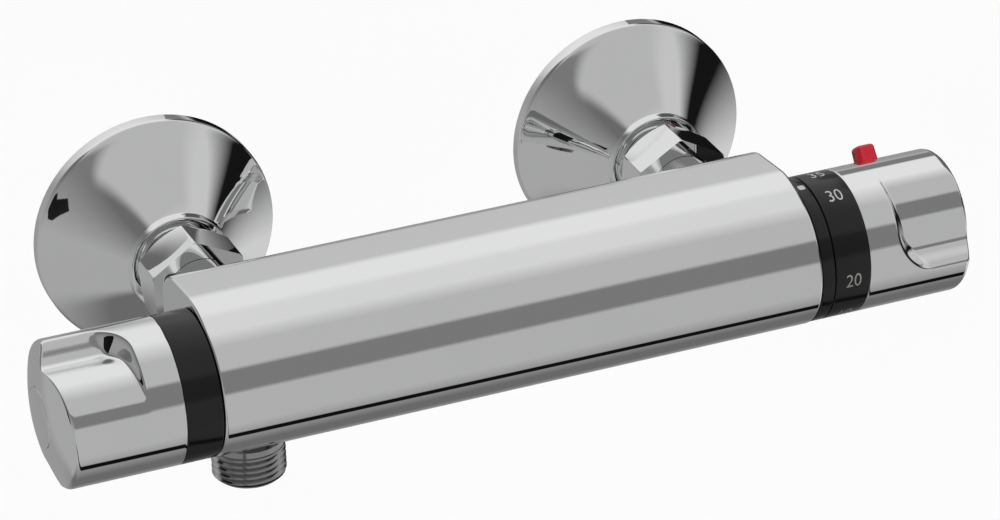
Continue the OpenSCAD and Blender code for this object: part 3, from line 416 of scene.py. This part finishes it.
def unionPiece(name, side):
    size = {"shift": 7, "barrel": 12, "reach": 36.6, "flange": 16.5, "flangeInside": 11.6,
            "flangeEnds": (2, 8), "bore": 8, "wallBore": 7, "threadEnds": (-15.2, 1.8)}
    crest, root, pitch = halfInch["crest"], halfInch["root"], halfInch["pitch"]
    threadLow, threadHigh = size["threadEnds"]
    profile = [(root, 0), (crest - 0.1, 0.42 * pitch), (crest, 0.5 * pitch), (crest - 0.1, 0.58 * pitch),
               (root, pitch)]
    shifted = Matrix.Translation((0, size["shift"], 0))
    thread = moved(screwThread(profile, pitch, 12, 1.5 * pitch, 1.5 * pitch + threadHigh - threadLow),
                   shifted @ Matrix.Translation((0, 0, threadLow - 1.5 * pitch)))
    core = moved(spun([(size["wallBore"], -16), (root - 0.3, -16), (root + 0.05, -15), (root + 0.05, 3),
                       (size["wallBore"], 3), (size["wallBore"], -16)]), shifted)
    back, front = size["flangeEnds"]
    flange = moved(spun([(size["flangeInside"], back), (size["flange"], back), (size["flange"], front),
                         (size["flangeInside"], front)], ((1, 0.5), (2, 0.5))),
                   Matrix.Translation((0, size["shift"] / 2, 0)))
    barrel = spun([(size["bore"], 3), (size["barrel"], 3), (size["barrel"], size["reach"]),
                   (size["bore"], size["reach"]), (size["bore"], 3)], ((2, 0.4),))
    return finished(name, joined([thread, core, flange, barrel]), atInlet(side), chrome, 50)


def tailPiece(name, side):
    size = {"r": 10, "collar": 11.6, "start": 38.4, "step": 40.6, "end": 67.6, "bore": 6, "seat": 7.55,
            "seatEnd": 52.3}
    points = [(size["seat"], size["start"]), (size["collar"], size["start"]), (size["collar"], size["step"]),
              (size["r"], size["step"]), (size["r"], size["end"]), (size["bore"], size["end"]),
              (size["bore"], size["seatEnd"]), (size["seat"], size["seatEnd"]), (size["seat"], size["start"])]
    return finished(name, spun(points, ((2, 0.3), (4, 0.5))), atInlet(side), chrome)


for label, side, turn in (("left", -1, 3.5), ("right", 1, 1)):
    for kind, maker, node in (("rose", rosePiece, "wall_rose"), ("union", unionPiece, "wall_union"),
                              ("tail", tailPiece, "inlet_tail")):
        piece = maker(kind + "_" + label, side)
        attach(piece, "bar")
        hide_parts(node + "_" + label)
    nut = nutPiece("nut_" + label, side, turn)
    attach(nut, "bar")
    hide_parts("union_nut_" + label)
print("wall connections made")


# Rings between the bar and the handles

ring = {"outer": 20.9, "spigot": 18.38, "reach": 3, "wall": 2, "edge": 0.3, "steps": 192}


def ringPiece(name, place, start, length, inner, spigot):
    outer, top = ring["outer"], start + length
    points = [(inner, start), (outer, start), (outer, top)]
    if spigot:
        lip, reach, wall = ring["spigot"], top + ring["reach"], ring["wall"]
        points += [(lip, top), (lip, reach), (lip - wall, reach), (lip - wall, top - wall),
                   (outer - wall, top - wall), (outer - wall, start)]
    else:
        points += [(inner, top), (inner, start)]
    bm = spun(points, ((1, ring["edge"]), (2, ring["edge"])), ring["steps"])
    return finished(name, bm, place, blackRing)


# Place, start, length, inner radius, whether it grips the handle, body and node
rings = {
    "flow_collar": (atLeft(), 0.3, 10.4, 18.9, True, "flow_control", "flow_ring"),
    "index_collar": (atRight(), 0, 3.8, 15.05, False, "bar", "index_ring"),
    "number_collar": (atRight(), 4.1, 10.8, 18.9, True, "temperature_control", "number_ring")}
for name, (place, start, length, inner, spigot, body, node) in rings.items():
    piece = ringPiece(name, place, start, length, inner, spigot)
    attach(piece, body)
    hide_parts(node)
print("rings made")


# Handles: one grid bent into the knob, with its finger scoops, end dome and cap recess

handle = {
    "r": 20.9, "length": 32.6, "dome": 3.3, "edge": 2.0, "cavity": 18.48, "cavityTop": 8.0,
    "foot": 0.4, "cap": 8.55, "capGap": 0.06, "capRim": 0.18, "capLand": 0.2, "capFloor": 33.6,
    # Scoop: floor circle, small round valley and wall, inside a plan that leans outwards
    "floor": 15.7, "shift": 6, "shiftTurn": -35, "valley": 2.2, "lipTurn": 70.7, "wallTurn": 90,
    "start": 10.0, "corner": 12, "draft": 30, "middle": 37, "scoopEdge": 0.8, "edgeFade": 0.5,
    "blur": 70, "soft": 0.4,
    # Fineness of the section, of the grid and of the radius table
    "runs": (900, 300, 400, 1500), "finer": 10,
    "columns": 640, "sideRows": 120, "edgeRows": 8, "domeRows": 14,
    "turnStep": 0.25, "step": 0.1, "tableTop": 40}
ballRadius = ((handle["r"] - handle["edge"]) ** 2 + handle["dome"] ** 2) / (2 * handle["dome"])
ballCentre = handle["length"] + handle["dome"] - ballRadius


def domeHeight(radius):
    return ballCentre + np.sqrt(ballRadius ** 2 - radius ** 2)


def turned(turns):
    return np.stack([np.cos(np.radians(turns)), np.sin(np.radians(turns))], axis=-1)


def turnOf(point):
    return degrees(atan2(point[1], point[0]))


# Section across both scoops, with softened corners and evenly spaced points
def scoopSection():
    h = handle
    floorAt, rise = h["shift"] * turned(h["shiftTurn"]), turned(h["wallTurn"])
    lip = h["r"] * turned(h["lipTurn"])
    lipSide = lip + h["valley"] * np.array([rise[1], -rise[0]])
    gap = lipSide - floorAt
    along = float(gap @ rise)
    back = along - sqrt(along ** 2 - float(gap @ gap) + (h["floor"] + h["valley"]) ** 2)
    valleyAt = lipSide - back * rise
    meet = turnOf(valleyAt - floorAt)
    opens = h["shiftTurn"] + degrees(acos((h["r"] ** 2 + h["shift"] ** 2 - h["floor"] ** 2) /
                                          (2 * h["r"] * h["shift"])))
    floorSteps, valleySteps, wallSteps, rimSteps = h["runs"]
    first = turnOf(h["r"] * turned(opens) - floorAt)
    floorRun = floorAt + h["floor"] * turned(np.linspace(first, meet, floorSteps))
    valleyRun = valleyAt + h["valley"] * turned(np.linspace(meet + 180, h["wallTurn"] + 90, valleySteps))
    wallRun = np.linspace(valleyRun[-1], lip, wallSteps)
    rimTurns = np.linspace(h["lipTurn"], opens + 180, rimSteps)
    half = np.concatenate([floorRun[:-1], valleyRun[:-1], wallRun[:-1], h["r"] * turned(rimTurns[:-1])])
    outline = np.concatenate([half, -half, half[:1]])
    lengths = np.linalg.norm(np.diff(outline, axis=0), axis=1)
    at = np.concatenate([[0], np.cumsum(lengths)])
    want = np.linspace(0, at[-1], h["finer"] * h["columns"], endpoint=False)
    even = np.stack([np.interp(want, at, outline[:, 0]), np.interp(want, at, outline[:, 1])], axis=1)
    shares = np.arange(-3 * h["blur"], 3 * h["blur"] + 1)
    weights = np.exp(-0.5 * (shares / h["blur"]) ** 2)
    weights /= weights.sum()
    soft = sum(w * np.roll(even, int(k), axis=0) for k, w in zip(shares, weights))[::h["finer"]]
    return soft * h["r"] / np.linalg.norm(soft, axis=1).max()


# Radius by turn and height: the section inside the scoop's leaning plan, the full circle outside it
def scoopRadii(section):
    h = handle
    turns = np.arange(0, 360, h["turnStep"])
    bearing = np.degrees(np.arctan2(section[:, 1], section[:, 0]))
    floor = np.interp(turns, bearing, np.linalg.norm(section, axis=1), period=360)
    heights = np.arange(0, h["tableTop"] + h["step"] / 2, h["step"])
    half = (turns - h["middle"] + 90) % 180 - 90
    across = np.maximum(np.sin(np.radians(half)), 0)[:, None]
    below = np.maximum(h["corner"] + h["start"] - heights, 0)[None, :]
    slope = tan(radians(h["draft"]))

    def inPlan(radius):
        return h["corner"] - np.hypot(radius * across, below) > (h["r"] - radius) * slope

    low, high = np.zeros((len(turns), len(heights))), np.full((len(turns), len(heights)), h["r"])
    reached = inPlan(high)
    for halving in range(24):
        middle = (low + high) / 2
        inside = inPlan(middle)
        low, high = np.where(inside, low, middle), np.where(inside, middle, high)
    radii = np.where(reached, np.maximum(high, floor[:, None]), h["r"])
    for axis, spacing in ((0, radians(h["turnStep"]) * h["r"]), (1, h["step"])):
        reach = int(3 * h["soft"] / spacing)
        shares = np.exp(-0.5 * (np.arange(-reach, reach + 1) * spacing / h["soft"]) ** 2)
        padded = np.pad(radii, [(reach, reach) if k == axis else (0, 0) for k in (0, 1)],
                        mode="wrap" if axis == 0 else "edge")
        radii = np.apply_along_axis(np.convolve, axis, padded, shares / shares.sum(), mode="valid")
    return turns, radii


def sidePoints(section, heights):
    turns, radii = scoopRadii(section)
    bearing = np.degrees(np.arctan2(section[:, 1], section[:, 0])) % 360
    columns = np.interp(bearing, np.append(turns, 360), np.arange(len(turns) + 1))
    first = np.floor(columns).astype(int)
    part = (columns - first)[:, None]
    rows = heights / handle["step"]
    below = np.floor(rows).astype(int)
    rise = rows - below
    a, b = (first % len(turns))[:, None], ((first + 1) % len(turns))[:, None]
    low = radii[a, below] * (1 - part) + radii[b, below] * part
    high = radii[a, below + 1] * (1 - part) + radii[b, below + 1] * part
    reach = low * (1 - rise) + high * rise
    return reach[..., None] * turned(bearing)[:, None, :]


def handleRows():
    h = handle
    section = scoopSection()
    circle = h["r"] * section / np.linalg.norm(section, axis=1)[:, None]
    deep = np.linalg.norm(section - circle, axis=1)
    edge = h["scoopEdge"] + (h["edge"] - h["scoopEdge"]) * np.exp(-(deep / h["edgeFade"]) ** 2)
    ahead = np.roll(section, -1, axis=0) - np.roll(section, 1, axis=0)
    inward = np.stack([-ahead[:, 1], ahead[:, 0]], axis=1)
    inward /= np.linalg.norm(inward, axis=1)[:, None]
    centre = np.linalg.norm(section + inward * edge[:, None], axis=1)
    edgeLow = ballCentre + np.sqrt((ballRadius - edge) ** 2 - centre ** 2)

    # Rows of the open foot and its small edges, then the sides, the upper edge, the dome and the cap's seat
    foot = [(h["cavity"], h["cavityTop"]), (h["cavity"], 0.2), (h["cavity"] + 0.2, 0), (h["r"] - 0.4, 0),
            (h["r"] - 0.2, 0.04), (h["r"] - 0.06, 0.16)]
    rows = [np.column_stack([circle * r / h["r"], np.full(len(circle), z)]) for r, z in foot]
    shares = np.linspace(0, 1, h["sideRows"])
    heights = h["foot"] + shares[None, :] * (edgeLow[:, None] - h["foot"])
    side = sidePoints(section, heights)
    rows += [np.column_stack([side[:, k], heights[:, k]]) for k in range(h["sideRows"])]
    top = side[:, -1]
    last = np.arccos(np.clip(centre / (ballRadius - edge), 0, 1))
    for k in range(1, h["edgeRows"] + 1):
        lift = last * k / h["edgeRows"]
        point = top + inward * (edge * (1 - np.cos(lift)))[:, None]
        rows.append(np.column_stack([point, edgeLow + edge * np.sin(lift)]))
    capCircle = circle * (h["cap"] + h["capLand"]) / h["r"]
    rim = rows[-1][:, :2]
    for k in range(1, h["domeRows"] + 1):
        point = rim + (capCircle - rim) * k / h["domeRows"]
        rows.append(np.column_stack([point, domeHeight(np.linalg.norm(point, axis=1))]))
    lipHeight = float(domeHeight(h["cap"])) - h["capRim"]
    for r, z in ((h["cap"], lipHeight), (h["cap"], h["capFloor"])):
        rows.append(np.column_stack([circle * r / h["r"], np.full(len(circle), z)]))
    return np.stack(rows, axis=1)


def handleMesh():
    table = handleRows()
    columns, rows = table.shape[:2]
    bm = bmesh.new()
    bmesh.ops.create_grid(bm, x_segments=columns, y_segments=rows - 1, size=1)
    for v in bm.verts:
        i = round((v.co.x + 1) / 2 * columns) % columns
        v.co = table[i, round((v.co.y + 1) / 2 * (rows - 1))]
    bmesh.ops.remove_doubles(bm, verts=bm.verts[:], dist=1e-5)
    rims = [e for e in bm.edges if e.is_boundary]
    bmesh.ops.holes_fill(bm, edges=rims, sides=0)
    bmesh.ops.recalc_face_normals(bm, faces=bm.faces[:])
    return bm


def capMesh():
    h = handle
    radius = h["cap"] - h["capGap"]
    reach = np.linspace(0, radius, 22)
    points = [(float(r), float(domeHeight(r))) for r in reach]
    points.append((radius, h["capFloor"] + 0.05))
    return spun(points, ((len(reach) - 1, h["capRim"]),), 160)


handleBase = handleMesh()
opening = {"along": 14.8, "turn": -216, "width": 6.44, "low": 12.8, "high": 28, "corner": 1.7}
# Place, start along the axis, turn, body and nodes
handles = {
    "flow": (atLeft(), 10.7, -60, "flow_control", "flow_handle", "flow_handle_cap"),
    "temperature": (atRight(), 14.9, -151, "temperature_control", "temperature_handle",
                    "temperature_handle_cap")}
for label, (place, start, turn, body, node, capNode) in handles.items():
    seat = place @ Matrix.Translation((0, 0, start * mm))
    turnedSeat = seat @ Matrix.Rotation(radians(turn), 4, "Z")
    knob = finished(label + "_knob", handleBase.copy(), turnedSeat, chrome, 32)
    if label == "temperature":
        buttonSeat = seat @ Matrix.Translation((0, 0, opening["along"] * mm)) @ \
            Matrix.Rotation(radians(opening["turn"]), 4, "Z") @ Matrix.Rotation(pi / 2, 4, "Y")
        block = roundedBlock(opening["width"], opening["width"], opening["low"], opening["high"],
                             opening["corner"], 8)
        carved(knob, finished("button opening", block, buttonSeat, chrome), sharp=32)
    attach(knob, body)
    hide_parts(node)
    cap = finished(label + "_cap", capMesh(), seat, chrome)
    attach(cap, body)
    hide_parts(capNode)
handleBase.free()
print("handles made")


# Override button: rounded square with a slight taper and a crowned top

def buttonPiece():
    size = {"width": 6.2, "top": 25.4, "foot": 15.6, "corner": 1.6, "taper": 0.94, "edge": 1.1,
            "crown": ((0.94, 0.03), (0.8, 0.06), (0.7, 0.05), (0.5, 0.03))}
    width = size["width"]
    bm = roundedBlock(width, width, size["foot"], size["top"], size["corner"], 8, size["taper"])
    rim = [e for e in bm.edges if all(abs(v.co.z - size["top"]) < 1e-3 for v in e.verts)]
    bevelled(bm, rim, size["edge"])
    bm.normal_update()
    crown = [max((f for f in bm.faces if f.normal.z > 0.9), key=lambda f: f.calc_area())]
    for share, rise in size["crown"]:
        raised = bmesh.ops.extrude_face_region(bm, geom=crown)["geom"]
        bmesh.ops.delete(bm, geom=crown, context="FACES_ONLY")
        crown = [f for f in raised if isinstance(f, bmesh.types.BMFace)]
        verts = [v for v in raised if isinstance(v, bmesh.types.BMVert)]
        bmesh.ops.scale(bm, vec=(share, share, 1), verts=verts)
        bmesh.ops.translate(bm, vec=(0, 0, rise), verts=verts)
    return finished("override_button", bm, buttonSeat, redButton, 60)


button = buttonPiece()
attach(button, "button")
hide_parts("safety_button")
print("button made")


# Marks printed on the rings: flat outlines wrapped round the handle axis

def wrapped(name, flat, x, turn, body):
    lift = {"radius": 20.93, "step": 0.35, "depth": 0.03}
    spare = bmesh.new()
    spare.from_mesh(flat)
    reach = max(abs(v.co.y) for v in spare.verts)
    for k in range(-int(reach / lift["step"]), int(reach / lift["step"]) + 1):
        bmesh.ops.bisect_plane(spare, geom=spare.verts[:] + spare.edges[:] + spare.faces[:],
                               plane_co=(0, k * lift["step"], 0), plane_no=(0, 1, 0), dist=1e-6)
    for v in spare.verts:
        a = radians(turn) + v.co.y / lift["radius"]
        radius = lift["radius"] - lift["depth"] + v.co.z
        v.co = (x + v.co.x, barAxis["y"] - radius * cos(a), barAxis["z"] + radius * sin(a))
    bmesh.ops.recalc_face_normals(spare, faces=spare.faces[:])
    piece = finished(name, spare, Matrix(), printWhite, 40)
    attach(piece, body)
    return piece


dial = {"x": 97.3, "height": 4.2, "capShare": 0.7, "narrow": 0.84, "thick": 0.03, "thin": -0.035,
        "places": {"35": 100, "30": 67, "20": -6, "10": -47}}


def numeral(body):
    curve = bpy.data.curves.new("numeral", "FONT")
    curve.body = body
    curve.size = dial["height"] / dial["capShare"]
    curve.align_x = "CENTER"
    curve.align_y = "CENTER"
    curve.extrude = dial["thick"]
    curve.offset = dial["thin"]
    curve.resolution_u = 8
    letters = bpy.data.objects.new("numeral", curve)
    scene.collection.objects.link(letters)
    graph = bpy.context.evaluated_depsgraph_get()
    flat = bpy.data.meshes.new_from_object(letters.evaluated_get(graph))
    flat.transform(Matrix.Diagonal((dial["narrow"], 1, 1, 1)))
    bpy.data.objects.remove(letters)
    return flat


for body, turn in dial["places"].items():
    wrapped("number_" + body, numeral(body), dial["x"], turn, "temperature_control")


def markPiece():
    mark = {"width": 2, "height": 2.2, "thick": 0.03, "corner": 0.6, "x": 89.7, "turn": 84}
    block = roundedBlock(mark["width"], mark["height"], -mark["thick"], mark["thick"], mark["corner"], 6)
    flat = bpy.data.meshes.new("mark")
    block.to_mesh(flat)
    block.free()
    return wrapped("index_mark", flat, mark["x"], mark["turn"], "bar")


markPiece()
print("marks made")


# Finishes of the CAD pieces that stay

nodeFinishes = (
    (brass, ("flow_spindle", "temperature_spindle", "flow_housing", "retaining_nut", "stop_ring",
             "wax_element")),
    (steel, ("flow_handle_screw", "temperature_handle_screw", "button_spring", "return_spring",
             "overtravel_spring", "overtravel_plate", "check_spring_left", "check_spring_right",
             "inlet_strainer_left", "inlet_strainer_right")),
    (rubber, ("flow_housing_seal", "flow_end_seal", "flow_spindle_seal", "cartridge_seals",
              "temperature_spindle_seal", "union_washer_left", "union_washer_right")),
    (whitePlastic, ("cartridge_housing", "regulating_nut", "regulating_sleeve", "flow_fixed_disc",
                    "flow_turning_disc", "check_housing_left", "check_housing_right",
                    "check_poppet_left", "check_poppet_right")))
for finish, names in nodeFinishes:
    for name in names:
        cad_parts[name].data.materials.clear()
        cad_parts[name].data.materials.append(finish)
print("inner pieces finished")


# Studio: the surroundings that polished metal shows, by the direction of the reflected ray

def grey(level):
    value = level / 255
    linear = value / 12.92 if value <= 0.04045 else ((value + 0.055) / 1.055) ** 2.4
    return (linear, linear, linear, 1)


# Panels of the light tent that polished metal shows: from, to, and one grey out of 255, with soft gaps
# between the panels. Round the bar the directions are turns in degrees, 0 level in front and 90 overhead,
# and at the two sides they are heights in degrees
tent = {
    "round": {"wallBehind": (-180, -140, 150), "underTheBar": (-115, -95, 105), "floorInFront": (-50, 0, 175),
              "opening": (5, 35, 120), "frontPanel": (40, 75, 180), "roof": (110, 145, 225),
              "wallAbove": (175, 180, 150)},
    "right": {"floor": (-90, -35, 205), "blackStand": (-3, 10, 20), "wall": (25, 90, 195)},
    "left": {"floor": (-90, -10, 165), "opening": (35, 50, 105), "roof": (80, 90, 170)}}
# How far to the right, or to the left, a side takes over
changes = {"right": (0.52, 0.74), "left": (-0.42, -0.62)}
darkStrip = {"turn": 157, "fade": 11, "half": 6, "right": (0.386, 0.391), "grey": 120}
blackLine = {"turn": -57.7, "lean": -53, "fade": 5.4, "half": 3.6, "grey": 14}
# Stands behind the right end: height of the middle, reach up and down, how far back and right
stands = (
    {"height": -0.17, "fade": 0.36, "half": 0.28, "back": (0.5, 0.6), "right": (0.42, 0.5), "grey": 16},
    {"height": 0.58, "fade": 0.24, "half": 0.18, "back": (0.2, 0.32), "right": (0.42, 0.5), "grey": 84})


def ramp(tree, full, panels):
    node = tree.nodes.new("ShaderNodeValToRGB")
    band = node.color_ramp
    stops = [(at, level) for start, end, level in panels for at in (start, end)]
    for at, level in stops[1:-1]:
        band.elements.new((at + full) / (2 * full)).color = grey(level)
    for element, (at, level) in ((band.elements[0], stops[0]), (band.elements[-1], stops[-1])):
        element.position = (at + full) / (2 * full)
        element.color = grey(level)
    return node


def studioGroup():
    group = bpy.data.node_groups.new("studioSurroundings", "ShaderNodeTree")
    group.interface.new_socket(name="Direction", in_out="INPUT", socket_type="NodeSocketVector")
    group.interface.new_socket(name="Colour", in_out="OUTPUT", socket_type="NodeSocketColor")
    nodes, links = group.nodes, group.links
    given, out = nodes.new("NodeGroupInput"), nodes.new("NodeGroupOutput")
    split = nodes.new("ShaderNodeSeparateXYZ")
    links.new(given.outputs["Direction"], split.inputs["Vector"])

    def maths(operation, a, b=None):
        node = nodes.new("ShaderNodeMath")
        node.operation = operation
        for socket, value in zip(node.inputs, (a, b)):
            if isinstance(value, (int, float)):
                socket.default_value = value
            elif value is not None:
                links.new(value, socket)
        return node.outputs[0]

    def share(value, low, high, kind="SMOOTHSTEP"):
        node = nodes.new("ShaderNodeMapRange")
        node.interpolation_type = kind
        node.inputs["From Min"].default_value = low
        node.inputs["From Max"].default_value = high
        links.new(value, node.inputs["Value"])
        return node.outputs["Result"]

    def blend(part, a, b):
        node = nodes.new("ShaderNodeMix")
        node.data_type = "RGBA"
        links.new(part, node.inputs["Factor"])
        links.new(a, node.inputs["A"])
        links.new(b, node.inputs["B"])
        return node.outputs["Result"]

    def plain(level):
        node = nodes.new("ShaderNodeRGB")
        node.outputs[0].default_value = grey(level)
        return node.outputs[0]

    x, y, z = (split.outputs[k] for k in ("X", "Y", "Z"))
    turn = share(maths("ARCTAN2", z, maths("MULTIPLY", y, -1)), -pi, pi, "LINEAR")
    height = share(maths("ARCSINE", z), -pi / 2, pi / 2, "LINEAR")

    def awayFrom(angle):
        return maths("ADD", turn, -(180 + angle) / 360)

    shades = {}
    for key, (full, direction) in {"round": (180, turn), "right": (90, height), "left": (90, height)}.items():
        node = ramp(group, full, tent[key].values())
        links.new(direction, node.inputs["Fac"])
        shades[key] = node.outputs["Color"]
    colour = shades["round"]

    # Dark strip high behind the right end
    strip = share(maths("ABSOLUTE", awayFrom(darkStrip["turn"])),
                  darkStrip["fade"] / 360, darkStrip["half"] / 360)
    colour = blend(maths("MULTIPLY", strip, share(x, *darkStrip["right"])), colour, plain(darkStrip["grey"]))

    # Black line below the level of the eye, a little lower towards the right
    offset = maths("ABSOLUTE", maths("ADD", awayFrom(blackLine["turn"]),
                                     maths("MULTIPLY", x, -blackLine["lean"] / 360)))
    colour = blend(share(offset, blackLine["fade"] / 360, blackLine["half"] / 360), colour,
                   plain(blackLine["grey"]))

    colour = blend(share(x, *changes["right"]), colour, shades["right"])
    for stand in stands:
        level = maths("ABSOLUTE", maths("ADD", z, -stand["height"]))
        behind = maths("MULTIPLY", share(y, *stand["back"]), share(x, *stand["right"]))
        shown = maths("MULTIPLY", behind, share(level, stand["fade"], stand["half"]))
        colour = blend(shown, colour, plain(stand["grey"]))
    links.new(blend(share(x, *changes["left"]), colour, shades["left"]), out.inputs["Colour"])
    return group


# The metal sees the tent, the camera a white background
def studioWorld():
    light = {"strength": 1.06, "background": (1, 1, 1, 1)}
    world = bpy.data.worlds.new("studio")
    scene.world = world
    world.use_nodes = True
    tree = world.node_tree
    nodes, links = tree.nodes, tree.links
    direction = nodes.new("ShaderNodeTexCoord")
    group = nodes.new("ShaderNodeGroup")
    group.node_tree = studioGroup()
    links.new(direction.outputs["Generated"], group.inputs["Direction"])
    seen = nodes["Background"]
    seen.inputs["Strength"].default_value = light["strength"]
    white = nodes.new("ShaderNodeBackground")
    white.inputs["Color"].default_value = light["background"]
    path = nodes.new("ShaderNodeLightPath")
    mix = nodes.new("ShaderNodeMixShader")
    links.new(group.outputs["Colour"], seen.inputs["Color"])
    links.new(path.outputs["Is Camera Ray"], mix.inputs["Fac"])
    links.new(seen.outputs["Background"], mix.inputs[1])
    links.new(white.outputs["Background"], mix.inputs[2])
    links.new(mix.outputs["Shader"], nodes["World Output"].inputs["Surface"])


def floorPiece():
    size = {"reach": 4000, "height": -320}
    bm = bmesh.new()
    bmesh.ops.create_grid(bm, x_segments=1, y_segments=1, size=size["reach"])
    bmesh.ops.translate(bm, vec=(0, 0, size["height"]), verts=bm.verts[:])
    floor = finished("floor", bm, Matrix(), detailed("pale floor", {
        "Grain scale": 300, "Patch scale": 3, "Low": 0.7, "High": 0.8, "Bump": 0.02, "Depth": 0.0002,
        "dark": (0.92, 0.92, 0.92), "light": (0.935, 0.935, 0.935), "metal": 0}))
    floor.visible_glossy = False
    floor.visible_diffuse = False


# Black card beside the left knob, seen only in its scoop and in the rose behind
def cardPiece():
    place = {"near": (-190, -95), "far": (-290, -163), "low": -2, "high": 46}
    bm = bmesh.new()
    corners = [(*place[end], place[level]) for end, level in
               (("near", "low"), ("far", "low"), ("far", "high"), ("near", "high"))]
    bm.faces.new([bm.verts.new(corner) for corner in corners])
    card = finished("card", bm, Matrix(), detailed("black card", {
        "Grain scale": 300, "Patch scale": 10, "Low": 0.8, "High": 0.9, "Bump": 0.02, "Depth": 0.0002,
        "dark": (0.004, 0.004, 0.004), "light": (0.008, 0.008, 0.008), "metal": 0,
        "more": {"Specular IOR Level": 0.1}}))
    card.visible_camera = False
    card.visible_diffuse = False
    card.visible_shadow = False


# Wide lamp overhead, for the shadow and for the plastics
def lampPiece():
    lamp = {"energy": 2.0, "width": 50, "tilt": 18}
    data = bpy.data.lights.new("overhead", "SUN")
    data.energy = lamp["energy"]
    data.angle = radians(lamp["width"])
    light = bpy.data.objects.new("overhead", data)
    light.rotation_euler = (radians(lamp["tilt"]), 0, 0)
    light.visible_glossy = False
    scene.collection.objects.link(light)


studioWorld()
floorPiece()
cardPiece()
lampPiece()
print("studio set")


# Camera, solved from the outlines in the photo; angles in degrees, the rest of its place in metres

def makeCamera():
    shot = {"azimuth": 21.544, "elevation": 27.29, "roll": -2.002, "distance": 1.288311,
            "right": -0.002641, "up": 0.015, "lens": 165.33, "sensor": 36.0}
    a, e, r = (radians(shot[k]) for k in ("azimuth", "elevation", "roll"))
    ahead = Vector((sin(a) * cos(e), cos(a) * cos(e), -sin(e)))
    level = ahead.cross(Vector((0, 0, 1))).normalized()
    rise = level.cross(ahead)
    right = level * cos(r) + rise * sin(r)
    up = rise * cos(r) - level * sin(r)
    place = right * shot["right"] + up * shot["up"] - ahead * shot["distance"]
    place += Vector((0, barAxis["y"], barAxis["z"])) * mm
    data = bpy.data.cameras.new("camera")
    data.lens = shot["lens"]
    data.sensor_width = shot["sensor"]
    data.clip_end = 20
    camera = bpy.data.objects.new("camera", data)
    camera.matrix_world = Matrix((
        (right.x, up.x, -ahead.x, place.x),
        (right.y, up.y, -ahead.y, place.y),
        (right.z, up.z, -ahead.z, place.z),
        (0, 0, 0, 1)))
    scene.collection.objects.link(camera)
    scene.camera = camera


makeCamera()
print("camera placed")
